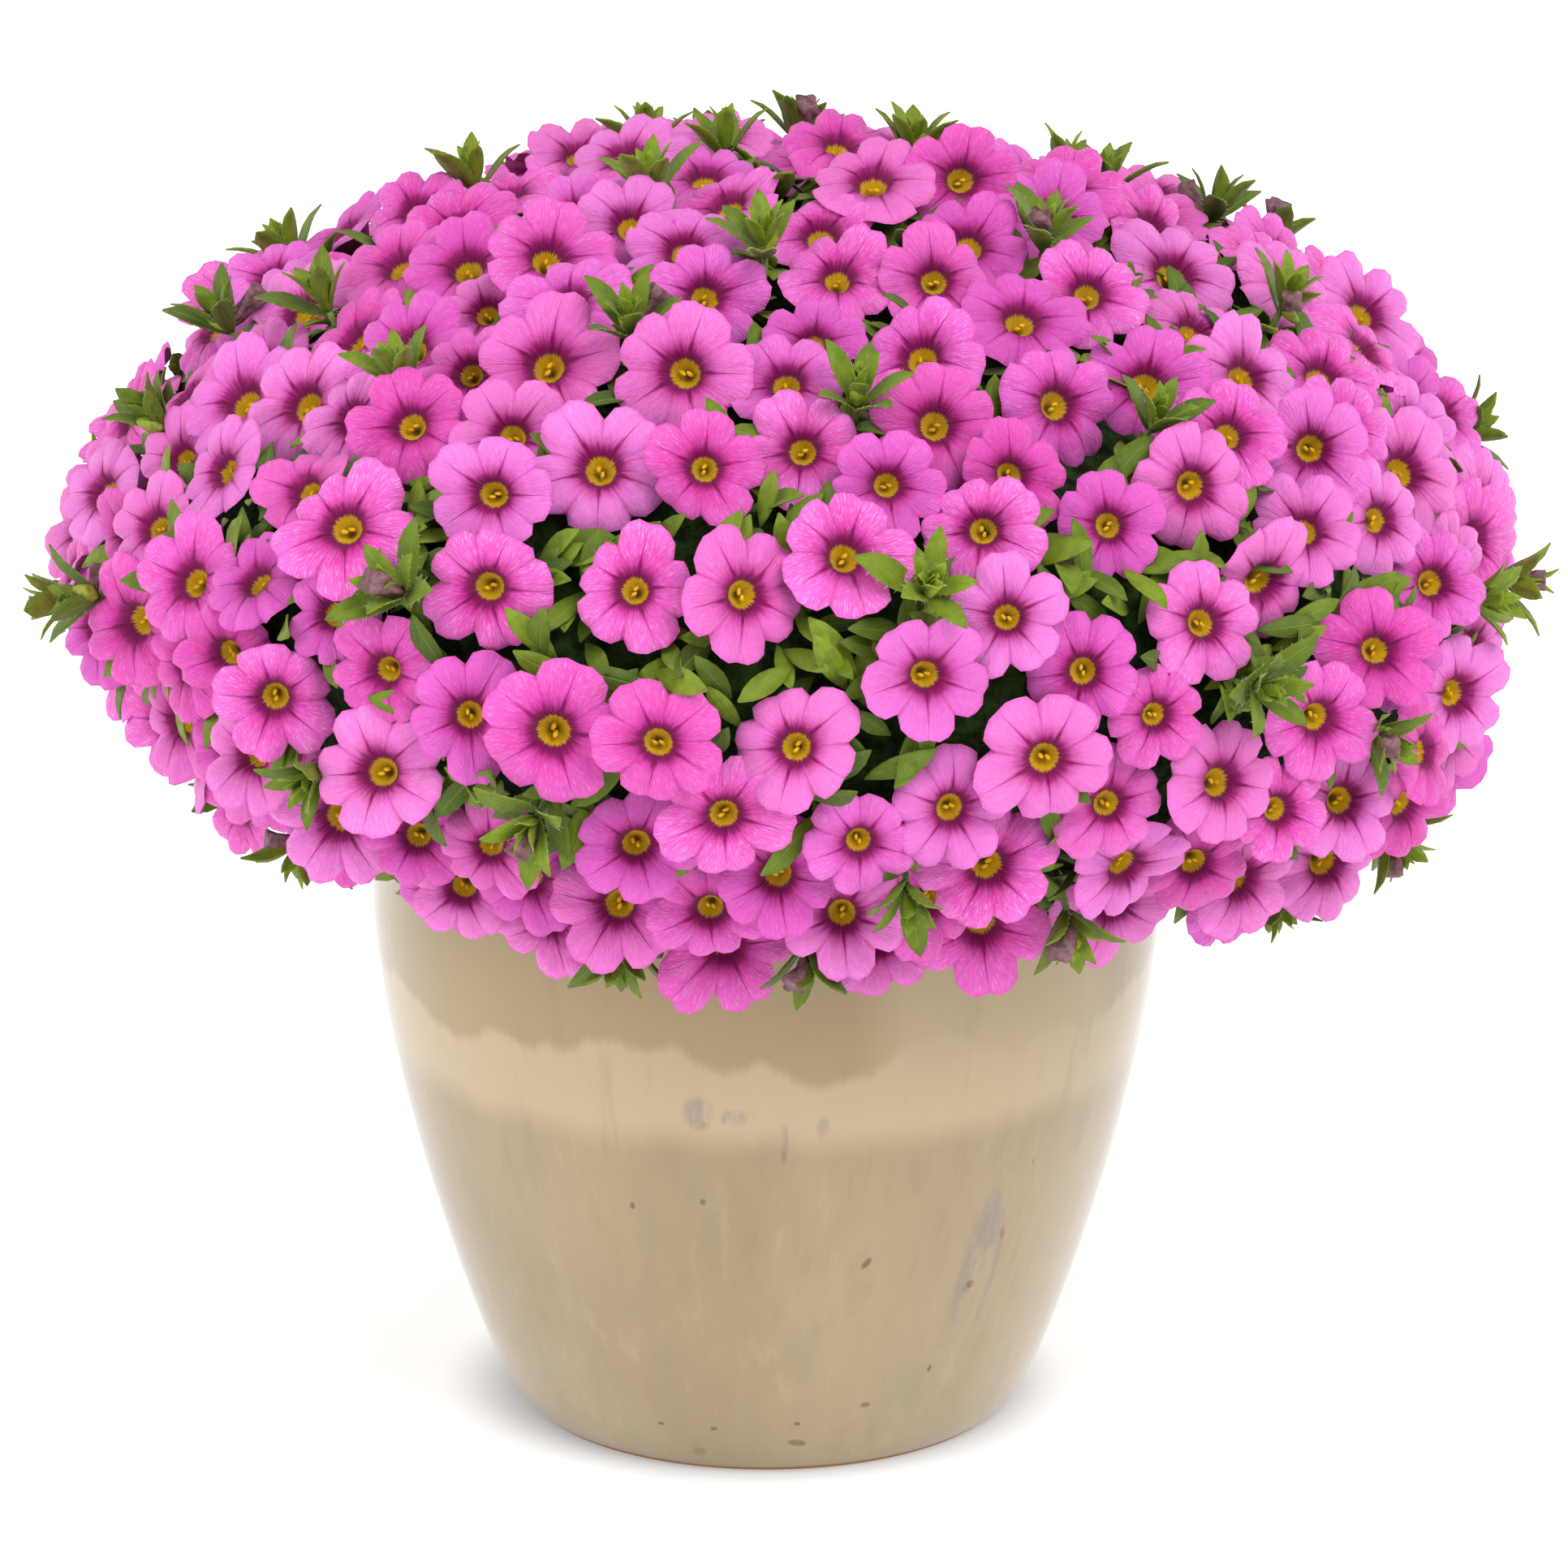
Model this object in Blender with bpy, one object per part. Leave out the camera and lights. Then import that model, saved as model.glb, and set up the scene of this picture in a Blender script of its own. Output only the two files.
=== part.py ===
"""A calibrachoa grown into a wide mound of pink blooms, in a round glazed pot.

Metres, +Z up. The origin is the middle of the pot's foot, on the surface it stands on.
"""

import math

import bmesh
import bpy
import numpy as np
from mathutils import Matrix, Vector
from mathutils.bvhtree import BVHTree

# Pot: a turned bowl, widest low on the hidden rim.
POT_SEGMENTS = 40
BELLY_RADIUS = 0.1062
BELLY_HEIGHT = 0.145
RIM_HEIGHT = 0.168
LIP_RADIUS = 0.1030
WAIST = 0.0367
WAIST_POWER = 1.55
FOOT_ROUNDING = 0.0050
FOOT_FALLOFF = 0.0050
WALL = 0.0095
BASE_THICKNESS = 0.012
DRAIN_RADIUS = 0.0055
DRAIN_CIRCLE = 0.030
DRAINS = 3
WALL_STEPS = 8

# Soil and the crown that stands in it.
CLEARANCE = 0.0003
SOIL_TOP = 0.149
CROWN_RADIUS = 0.009
CROWN_DEPTH = 0.020
CROWN_TOP = 0.158
CROWN_TAPER = (0.97, 0.80)
BRANCHES = 7
BRANCH_RADIUS = 0.0032
BRANCH_REACH = 0.060
SHORT_BRANCH = 0.55
BRANCH_ROOT = 0.006

# Mound: the surface that the blooms' rims lie on, an oblate ellipsoid with a few swells.
MOUND_RADIUS = 0.1955
MOUND_HALF_HEIGHT = 0.1020
MOUND_CENTRE = (0.0054, 0.0, 0.2375)
SWELLS = (
    # (direction, height in metres, tightness)
    ((0.09, -0.15, 1.0), 0.0090, 40.0),
    ((0.85, -0.30, -0.42), 0.0085, 12.0),
    ((1.00, -0.10, 0.12), -0.0095, 8.0),
    ((-0.80, -0.20, 0.50), -0.0095, 9.0),
    ((-0.95, 0.10, -0.10), -0.0020, 8.0),
    ((-0.75, -0.45, -0.48), -0.0110, 12.0),
    ((0.20, 0.90, 0.25), 0.0050, 7.0),
)
LOWEST = -0.66

# Leafy core of the sprays, inside the bloom surface.
CORE_DEPTH = 0.0140
CORE_ROUGHNESS = 0.0016
CORE_FLOOR = RIM_HEIGHT + CLEARANCE
CORE_RINGS = 10
CORE_SECTORS = 20
SPRAY_GAP = 0.0004
TIERS = (
    # (name, latitude in degrees, sprays, first azimuth in degrees)
    ("top", 66.0, 4, 45.0),
    ("shoulder", 27.0, 7, 10.0),
    ("skirt", -20.0, 8, 0.0),
)

# Blooms.
BLOOMS = 272
BLOOM_RADIUS = (0.0150, 0.0174)
BLOOM_POINTS = 10
NOTCH = 0.87
THROAT_DEPTH = 0.0030
DEEPEST_THROAT = 0.4
TUBE_LIFTS = (0.00035, 0.0010, 0.0020, 0.0035, 0.0055, 0.0080)
BLOOM_TILT = math.radians(7.0)
DROOP = 0.25
OUTWARD_LEAN = (0.5, 1.0, 0.22)
LIGHT_LEAN = (0.0, -0.7, 0.22)
LOW_LEAN = 1.2
CHAIN_SPACING = 0.80
STALK_RADIUS = 0.0012
STALK_DEPTHS = (0.55, 0.45, 0.38)
LOOSE_MARGIN = 0.0008
SPRAY_MARGIN = 0.0013
SPREAD_OUT = 1.10

# Leafy shoots.
SHOOTS = 58
SHOOT_LEAVES = 5
SHOOT_SPACING = 0.040
SHOOT_TO_BLOOM = 0.0035
NECK_RADIUS = 0.0018
LEAF_HALF_WIDTH = 0.0031
LEAF_KEEL = 0.0013
SHOOT_ROOT = 0.0030
BUD_HEIGHT = 0.0012
TURN_TRIES = 8
CELL_MARGINS = (0.0025, 0.0060, 0.0100)
BLOOM_NEAR = 0.045
SHOOT_NEAR = 0.050
SPLAYS = (
    # (reach, rise) of a leaf's shoulder and of its tip, from spread flat to upright
    ((0.0090, 0.0020), (0.0190, 0.0015)),
    ((0.0088, 0.0032), (0.0180, 0.0045)),
    ((0.0080, 0.0045), (0.0165, 0.0075)),
    ((0.0066, 0.0060), (0.0130, 0.0105)),
    ((0.0048, 0.0070), (0.0085, 0.0130)),
    ((0.0046, 0.0082), (0.0062, 0.0150)),
)

SEED = 29
RELAX_STEPS = 500
RELAX_PACE = 0.3
FIRST_SCATTER = 0.02


def clear_scene():
    for obj in list(bpy.data.objects):
        bpy.data.objects.remove(obj, do_unlink=True)


def make_material(name, colour, roughness):
    material = bpy.data.materials.new(name)
    material.use_nodes = True
    shader = material.node_tree.nodes["Principled BSDF"]
    shader.inputs["Base Color"].default_value = (*colour, 1.0)
    shader.inputs["Roughness"].default_value = roughness
    shader.inputs["Metallic"].default_value = 0.0
    return material


def object_from(bm, name, material=None):
    mesh = bpy.data.meshes.new(name)
    bm.to_mesh(mesh)
    bm.free()
    obj = bpy.data.objects.new(name, mesh)
    bpy.context.scene.collection.objects.link(obj)
    if material:
        mesh.materials.append(material)
    return obj


def turn_profile(points, segments):
    """The closed body that a closed (radius, height) outline sweeps about the Z axis."""
    bm = bmesh.new()
    verts = [bm.verts.new((radius, 0.0, height)) for radius, height in points]
    count = len(verts)
    edges = [bm.edges.new((verts[i], verts[(i + 1) % count])) for i in range(count)]
    bmesh.ops.spin(
        bm,
        geom=verts + edges,
        cent=(0, 0, 0),
        axis=(0, 0, 1),
        angle=math.tau,
        steps=segments,
        use_merge=True,
    )
    bmesh.ops.remove_doubles(bm, verts=bm.verts, dist=1e-6)
    bare = [edge for edge in bm.edges if not edge.link_faces]
    bmesh.ops.delete(bm, geom=bare, context="EDGES")
    bmesh.ops.recalc_face_normals(bm, faces=bm.faces)
    return bm


def shade(obj, angle=0.6):
    obj.data.shade_smooth()
    obj.data.set_sharp_from_angle(angle=angle)


# Pot, soil and crown


def wall_radius(height):
    """Outer radius of the pot at a height."""
    if height > BELLY_HEIGHT:
        part = (height - BELLY_HEIGHT) / (RIM_HEIGHT - BELLY_HEIGHT)
        return BELLY_RADIUS - (BELLY_RADIUS - LIP_RADIUS) * part**2
    below = (BELLY_HEIGHT - height) / BELLY_HEIGHT
    rounding = FOOT_ROUNDING * math.exp(-height / FOOT_FALLOFF)
    return BELLY_RADIUS - WAIST * below**WAIST_POWER - rounding


def wall_heights(bottom, top, steps):
    return [bottom + (top - bottom) * i / steps for i in range(steps + 1)]


def fill_heights():
    """Where both the pot's inside and the soil's side have their corners."""
    return wall_heights(BASE_THICKNESS, SOIL_TOP, 3)


def pot_outline():
    lip_centre = RIM_HEIGHT - WALL / 2
    foot = [(wall_radius(h), h) for h in (0.0, 0.003, 0.008)]
    outside = [(wall_radius(h), h) for h in wall_heights(0.018, lip_centre, WALL_STEPS)]
    middle = wall_radius(lip_centre) - WALL / 2
    lip = [
        (middle + WALL / 2 * math.cos(a), lip_centre + WALL / 2 * math.sin(a))
        for a in (math.pi * k / 4 for k in range(1, 4))
    ]
    inside = [
        (wall_radius(h) - WALL, h)
        for h in [lip_centre] + fill_heights()[::-1]
    ]
    middle_of_base = [(0.0, BASE_THICKNESS), (0.0, 0.0)]
    return foot + outside + lip + inside + middle_of_base


def make_pot(material):
    pot = object_from(turn_profile(pot_outline(), POT_SEGMENTS), "pot", material)
    for index in range(DRAINS):
        angle = math.tau * index / DRAINS
        x, y = DRAIN_CIRCLE * math.cos(angle), DRAIN_CIRCLE * math.sin(angle)
        bit = cone(DRAIN_RADIUS, DRAIN_RADIUS, (x, y, -0.01), (x, y, BASE_THICKNESS + 0.01), 10)
        drill = object_from(bit, f"drain_{index + 1}")
        drill.hide_render = True
        drill.display_type = "WIRE"
        cut = pot.modifiers.new("drain", "BOOLEAN")
        cut.operation = "DIFFERENCE"
        cut.object = drill
    shade(pot)
    return pot


def make_soil(material):
    top, bottom = SOIL_TOP, BASE_THICKNESS + CLEARANCE
    side = [(wall_radius(h) - WALL - CLEARANCE, max(h, bottom)) for h in fill_heights()]
    hole = CROWN_RADIUS + CLEARANCE
    hollow = [(hole, top), (hole, top - CROWN_DEPTH), (0.0, top - CROWN_DEPTH)]
    outline = side + hollow + [(0.0, bottom)]
    return object_from(turn_profile(outline, POT_SEGMENTS), "soil", material)


def cone(radius, end_radius, start, end, sides):
    """A tapered stem from start to end."""
    bm = bmesh.new()
    along = Vector(end) - Vector(start)
    place = Matrix.Translation((Vector(start) + Vector(end)) / 2)
    turn = along.to_track_quat("Z", "Y").to_matrix().to_4x4()
    bmesh.ops.create_cone(
        bm,
        cap_ends=True,
        segments=sides,
        radius1=radius,
        radius2=end_radius,
        depth=along.length,
        matrix=place @ turn,
    )
    return bm


def make_crown(material):
    foot = SOIL_TOP - CROWN_DEPTH + CLEARANCE
    low, high = (CROWN_RADIUS * share for share in CROWN_TAPER)
    stump = cone(low, high, (0, 0, foot), (0, 0, CROWN_TOP), 12)
    crown = object_from(stump, "crown", material)
    branches = []
    for index in range(BRANCHES):
        angle = math.tau * index / BRANCHES
        reach = BRANCH_REACH * (1.0 if index % 2 else SHORT_BRANCH)
        end = Vector((reach * math.cos(angle), reach * math.sin(angle), CORE_FLOOR))
        start = Vector((0, 0, CROWN_TOP - BRANCH_ROOT))
        branches.append(object_from(cone(BRANCH_RADIUS, BRANCH_RADIUS, start, end, 6), "branch"))
    fuse(crown, branches)
    cut_above(crown, CORE_FLOOR - CLEARANCE)
    return crown


def cut_above(obj, level):
    bm = bmesh.new()
    bm.from_mesh(obj.data)
    slice_off(bm, Vector((0, 0, level)), Vector((0, 0, 1)))
    bm.to_mesh(obj.data)
    bm.free()


def slice_off(bm, point, normal):
    """Removes what lies beyond the plane, on the side its normal points to, and closes the cut."""
    cut = bmesh.ops.bisect_plane(
        bm,
        geom=bm.verts[:] + bm.edges[:] + bm.faces[:],
        dist=1e-6,
        plane_co=point,
        plane_no=normal,
        clear_outer=True,
    )
    rim = [item for item in cut["geom_cut"] if isinstance(item, bmesh.types.BMEdge)]
    if rim:
        bmesh.ops.edgeloop_fill(bm, edges=[e for e in rim if len(e.link_faces) == 1])
    bmesh.ops.recalc_face_normals(bm, faces=bm.faces)


def fuse(body, repeats):
    """Joins the repeats to the body with one Boolean union, and removes them."""
    if not repeats:
        return
    group = bpy.data.collections.new(body.name + "_repeats")
    bpy.context.scene.collection.children.link(group)
    for repeat in repeats:
        bpy.context.scene.collection.objects.unlink(repeat)
        group.objects.link(repeat)
    union = body.modifiers.new("union", "BOOLEAN")
    union.operation = "UNION"
    union.operand_type = "COLLECTION"
    union.collection = group
    union.solver = "EXACT"
    bpy.context.view_layer.update()
    graph = bpy.context.evaluated_depsgraph_get()
    joined = bpy.data.meshes.new_from_object(body.evaluated_get(graph))
    body.modifiers.clear()
    body.data = joined
    for repeat in list(group.objects):
        bpy.data.objects.remove(repeat, do_unlink=True)
    bpy.data.collections.remove(group)


# Where the blooms and the shoots stand


def mound_surface(units, depth=0.0):
    """Points on the mound for unit vectors, a depth below the surface of the rims."""
    size = np.array([MOUND_RADIUS, MOUND_RADIUS, MOUND_HALF_HEIGHT]) - depth
    swell = np.zeros(len(units))
    for direction, height, tightness in SWELLS:
        towards = np.array(direction) / np.linalg.norm(direction)
        swell += height * np.exp(tightness * (units @ towards - 1.0))
    return np.array(MOUND_CENTRE) + units * size + mound_normals(units) * swell[:, None]


def mound_normals(units):
    size = np.array([MOUND_RADIUS, MOUND_RADIUS, MOUND_HALF_HEIGHT])
    normals = units / size
    return normals / np.linalg.norm(normals, axis=1)[:, None]


def facing(units):
    """Blooms look out, and all but the lowest also lean outwards and to the light in front."""
    normals = mound_normals(units)
    normals[:, 2] = np.where(normals[:, 2] < 0, DROOP * normals[:, 2], normals[:, 2])
    lean = units * np.array(OUTWARD_LEAN) + np.array(LIGHT_LEAN)
    normals += lean * (1.0 + LOW_LEAN * np.minimum(units[:, 2:], 0.0))
    return normals / np.linalg.norm(normals, axis=1)[:, None]


def keep_on_mound(units):
    units = units / np.linalg.norm(units, axis=1)[:, None]
    units[:, 2] = np.maximum(units[:, 2], LOWEST)
    flat = np.linalg.norm(units[:, :2], axis=1)
    wanted = np.sqrt(np.clip(1.0 - units[:, 2] ** 2, 0.0, 1.0))
    units[:, :2] *= (wanted / np.maximum(flat, 1e-9))[:, None]
    return units


def spread(count, rng):
    """An even spiral of unit vectors over the part of the mound that carries blooms."""
    height = 1.0 - (1.0 - LOWEST) * (np.arange(count) + 0.5) / count
    turn = np.arange(count) * math.pi * (3.0 - math.sqrt(5.0))
    flat = np.sqrt(1.0 - height**2)
    units = np.stack([flat * np.cos(turn), flat * np.sin(turn), height], axis=1)
    return keep_on_mound(units + rng.normal(0.0, FIRST_SCATTER, units.shape))


def relax(units, least, pull, steps):
    """Moves the points until each pair keeps its least distance and each chained pair meets."""
    size = np.array([MOUND_RADIUS, MOUND_RADIUS, MOUND_HALF_HEIGHT])
    for _ in range(steps):
        points = mound_surface(units)
        apart = points[:, None, :] - points[None, :, :]
        length = np.linalg.norm(apart, axis=2) + 1e-9
        short = np.clip(least - length, 0.0, None)
        np.fill_diagonal(short, 0.0)
        long = np.where(pull > 0.0, length - pull, 0.0)
        move = ((short - long) / length)[:, :, None] * apart
        units = keep_on_mound(units + RELAX_PACE * move.sum(axis=1) / size)
    return units


def spray_centres():
    """(name, unit vector) of each spray, tier by tier."""
    sprays = []
    for name, latitude, count, first in TIERS:
        for index in range(count):
            turn = math.radians(first + 360.0 * index / count)
            high = math.radians(latitude)
            unit = (math.cos(high) * math.cos(turn), math.cos(high) * math.sin(turn), math.sin(high))
            sprays.append((f"{name}_{index + 1}", np.array(unit)))
    return sprays


def nearest_spray(points, centres):
    apart = np.linalg.norm(points[:, None, :] - centres[None, :, :], axis=2)
    return apart.argmin(axis=1)


def chain(points, members):
    """The shortest tree that links the members, as pairs of indices."""
    linked, pairs = [members[0]], []
    waiting = list(members[1:])
    while waiting:
        apart = np.linalg.norm(points[waiting][:, None] - points[linked][None], axis=2)
        row, column = np.unravel_index(apart.argmin(), apart.shape)
        pairs.append((linked[column], waiting[row]))
        linked.append(waiting.pop(row))
    return pairs


def least_distances(radii, group, is_bloom):
    both = is_bloom[:, None] & is_bloom[None, :]
    same = group[:, None] == group[None, :]
    reach = radii[:, None] + radii[None, :]
    least = np.where(same, reach + LOOSE_MARGIN, reach + SPRAY_MARGIN)
    mixed = is_bloom[:, None] ^ is_bloom[None, :]
    least = np.where(mixed, reach + SHOOT_TO_BLOOM, least)
    return np.where(both | mixed, least, SHOOT_SPACING)


def far_apart(points, count):
    """The indices of points spread evenly among the others, each the farthest from those before."""
    chosen = [len(points) // 2]
    apart = np.linalg.norm(points - points[chosen[0]], axis=1)
    while len(chosen) < count:
        chosen.append(int(apart.argmax()))
        apart = np.minimum(apart, np.linalg.norm(points - points[chosen[-1]], axis=1))
    return chosen


def lay_out():
    """Where every bloom and shoot stands, which spray it belongs to, and the chained pairs."""
    rng = np.random.default_rng(SEED)
    total = BLOOMS + SHOOTS
    start = spread(total, rng)
    is_bloom = np.ones(total, bool)
    is_bloom[far_apart(mound_surface(start), SHOOTS)] = False
    radii = np.where(is_bloom, rng.uniform(*BLOOM_RADIUS, total), 0.0)
    centres = mound_surface(np.array([unit for _, unit in spray_centres()]))
    no_pull = np.zeros((total, total))
    least = least_distances(radii, np.zeros(total), is_bloom)
    units = relax(start, least, no_pull, RELAX_STEPS // 4)
    points = mound_surface(units)
    group = nearest_spray(points, centres)
    pairs = []
    for index in range(len(centres)):
        members = [i for i in np.flatnonzero(group == index) if is_bloom[i]]
        pairs += chain(points, members)
    least = least_distances(radii, group, is_bloom)
    pull = no_pull.copy()
    for a, b in pairs:
        wanted = CHAIN_SPACING * (radii[a] + radii[b])
        pull[a, b] = pull[b, a] = wanted
        least[a, b] = least[b, a] = wanted
    wide = np.where(pull > 0.0, least, least * SPREAD_OUT)
    units = relax(units, wide, pull, RELAX_STEPS)
    units = relax(units, least, pull, RELAX_STEPS // 2)
    return units, radii, group, is_bloom, pairs, rng


# Sprays


def core_body():
    """The leafy inside of the mound, whole, with its flat underside just over the pot's rim."""
    bm = bmesh.new()
    bmesh.ops.create_uvsphere(bm, u_segments=CORE_SECTORS, v_segments=CORE_RINGS, radius=1.0)
    units = np.array([vert.co[:] for vert in bm.verts])
    rough = np.random.default_rng(SEED).uniform(-CORE_ROUGHNESS, CORE_ROUGHNESS, len(units))
    places = mound_surface(units, CORE_DEPTH) + mound_normals(units) * rough[:, None]
    for vert, point in zip(bm.verts, places):
        vert.co = point
    bmesh.ops.triangulate(bm, faces=bm.faces)
    slice_off(bm, Vector((0, 0, CORE_FLOOR)), Vector((0, 0, -1)))
    bmesh.ops.triangulate(bm, faces=bm.faces)
    return bm


def core_cell(whole, index, centres):
    """The part of the core nearest to one spray's centre, half a gap short of each neighbour's."""
    bm = whole.copy()
    here = Vector(centres[index])
    for other, centre in enumerate(centres):
        if other == index:
            continue
        there = Vector(centre)
        normal = (there - here).normalized()
        slice_off(bm, (here + there) / 2 - normal * SPRAY_GAP / 2, normal)
    return bm


def axes_facing(outward, turn):
    """A frame whose Z looks outward, turned about it."""
    frame = Vector(outward).to_track_quat("Z", "Y").to_matrix()
    return (frame @ Matrix.Rotation(turn, 3, "Z")).to_4x4()


def bloom_body(place, radius, tip):
    """A shallow five-lobed funnel whose tube ends at the tip, in the bloom's own frame."""
    bm = bmesh.new()
    bmesh.ops.create_cone(
        bm,
        cap_ends=True,
        cap_tris=True,
        segments=BLOOM_POINTS,
        radius1=radius,
        radius2=0.0,
        depth=0.01,
    )
    bmesh.ops.remove_doubles(bm, verts=bm.verts, dist=1e-6)
    local_tip = place.inverted() @ tip
    throat = local_tip * min(DEEPEST_THROAT, THROAT_DEPTH / -local_tip.z)
    for vert in bm.verts:
        if vert.co.z > 0.001:
            vert.co = local_tip
        elif vert.co.xy.length < 1e-5:
            vert.co = throat
        else:
            point = round(math.atan2(vert.co.y, vert.co.x) / math.tau * BLOOM_POINTS)
            scale = NOTCH if point % 2 else 1.0
            vert.co = (vert.co.x * scale, vert.co.y * scale, 0.0)
    bmesh.ops.transform(bm, matrix=place, verts=bm.verts)
    bmesh.ops.recalc_face_normals(bm, faces=bm.faces)
    return bm


def polar(reach, angle, side, height):
    """A point at a reach along an angle, moved sideways, at a height."""
    return Vector(
        (
            reach * math.cos(angle) - side * math.sin(angle),
            reach * math.sin(angle) + side * math.cos(angle),
            height,
        )
    )


def shoot_body(place, foot_point, splay):
    """A leafy shoot: a stem that flares into pointed leaves, all one closed skin."""
    (shoulder_reach, shoulder_rise), (tip_reach, tip_rise) = splay
    bm = bmesh.new()
    foot = bm.verts.new(place.inverted() @ foot_point)
    bud = bm.verts.new((0, 0, BUD_HEIGHT))
    step = math.tau / SHOOT_LEAVES
    neck = [bm.verts.new(polar(NECK_RADIUS, (k + 0.5) * step, 0, 0)) for k in range(SHOOT_LEAVES)]
    for k in range(SHOOT_LEAVES):
        angle = k * step
        before, after = neck[k - 1], neck[k]
        left = bm.verts.new(polar(shoulder_reach, angle, -LEAF_HALF_WIDTH, shoulder_rise))
        right = bm.verts.new(polar(shoulder_reach, angle, LEAF_HALF_WIDTH, shoulder_rise))
        tip = bm.verts.new(polar(tip_reach, angle, 0, tip_rise))
        keel = bm.verts.new(polar(shoulder_reach, angle, 0, shoulder_rise - LEAF_KEEL))
        edge = [before, left, tip, right, after]
        for first, second in zip(edge, edge[1:]):
            bm.faces.new((bud, first, second))
            bm.faces.new((keel, second, first))
        bm.faces.new((keel, before, after))
        bm.faces.new((foot, after, before))
    bmesh.ops.transform(bm, matrix=place, verts=bm.verts)
    bmesh.ops.recalc_face_normals(bm, faces=bm.faces)
    return bm


def tilted(outward, rng):
    lean = Vector(rng.normal(0.0, BLOOM_TILT * 0.6, 3))
    return (Vector(outward) + lean).normalized()


def make_blooms(layout, core_tree):
    """One closed body for each bloom, by its index in the layout."""
    units, radii, _, is_bloom, _, rng = layout
    points, outward = mound_surface(units), facing(units)
    blooms = {}
    for index in np.flatnonzero(is_bloom):
        seat, normal, _, _ = core_tree.find_nearest(Vector(points[index]))
        turn = rng.uniform(0.0, math.tau)
        place = Matrix.Translation(points[index]) @ axes_facing(tilted(outward[index], rng), turn)
        for lift in TUBE_LIFTS:
            body = bloom_body(place, radii[index], seat + normal * lift)
            if not BVHTree.FromBMesh(body).overlap(core_tree):
                break
        blooms[index] = body
    return blooms


def foot_in_cell(start, index, centres, core_tree, margin):
    """A point just inside the core, clear of the planes that part its spray from the neighbours."""
    here = Vector(centres[index])
    point = start
    for _ in range(6):
        seat, normal, _, _ = core_tree.find_nearest(point)
        point = seat - normal * SHOOT_ROOT
        for other, centre in enumerate(centres):
            if other == index:
                continue
            normal = (Vector(centre) - here).normalized()
            past = (point - (here + Vector(centre)) / 2).dot(normal) + margin
            if past > 0:
                point = point - normal * past
    return point


def make_stalks(layout, blooms, bloom_trees, core_tree):
    """A stalk between the tubes of each chained pair whose petals do not meet, by its pair."""
    points = mound_surface(layout[0])
    stalks = {}
    for pair in layout[4]:
        if bloom_trees[pair[0]].overlap(bloom_trees[pair[1]]):
            continue
        for share in STALK_DEPTHS:
            ends = [Vector(points[i]).lerp(tube_end(blooms[i]), share) for i in pair]
            along = (ends[1] - ends[0]).normalized() * STALK_RADIUS
            stalk = cone(STALK_RADIUS, STALK_RADIUS, ends[0] - along, ends[1] + along, 3)
            if not BVHTree.FromBMesh(stalk).overlap(core_tree):
                break
        stalks[pair] = stalk
    return stalks


def tube_end(body):
    """The tip of a bloom's tube: of all its corners, the one with the longest edges."""
    return max(body.verts, key=lambda vert: sum(e.calc_length() for e in vert.link_edges)).co.copy()


def crosses(tree, others):
    return any(tree.overlap(other) for other in others)


def foot_of_shoot(here, index, centres, core_tree, cell_trees):
    """Where the shoot's stem roots in its own spray's core without touching another spray's."""
    others = [tree for number, tree in enumerate(cell_trees) if number != index]
    for margin in CELL_MARGINS:
        foot = foot_in_cell(here, index, centres, core_tree, margin)
        probe = cone(NECK_RADIUS, NECK_RADIUS * 0.5, here, foot, 6)
        clear = not crosses(BVHTree.FromBMesh(probe), others)
        probe.free()
        if clear:
            break
    return foot


def make_shoots(layout, core_tree, bloom_trees, stalk_trees, spray_points, cell_trees):
    """One closed body for each shoot, its leaves spread as flat as its neighbours leave room for."""
    units, _, group, is_bloom, _, rng = layout
    points = mound_surface(units)
    centres = {i: Vector(points[i]) for i in bloom_trees}
    shoots, trees = {}, {}
    for index in np.flatnonzero(~is_bloom):
        here = Vector(points[index])
        near = [bloom_trees[i] for i in bloom_trees if (centres[i] - here).length < BLOOM_NEAR]
        near += [trees[i] for i in trees if (Vector(points[i]) - here).length < SHOOT_NEAR]
        near += stalk_trees
        near += [tree for number, tree in enumerate(cell_trees) if number != group[index]]
        foot = foot_of_shoot(here, group[index], spray_points, core_tree, cell_trees)
        axis = (here - foot).normalized()
        first = rng.uniform(0.0, math.tau)
        for splay in SPLAYS:
            for number in range(TURN_TRIES):
                turn = first + math.tau / SHOOT_LEAVES * number / TURN_TRIES
                place = Matrix.Translation(here) @ axes_facing(axis, turn)
                body = shoot_body(place, foot, splay)
                tree = BVHTree.FromBMesh(body)
                if not crosses(tree, near):
                    break
                body.free()
                body = None
            if body:
                shoots[index], trees[index] = body, tree
                break
    return shoots


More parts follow.
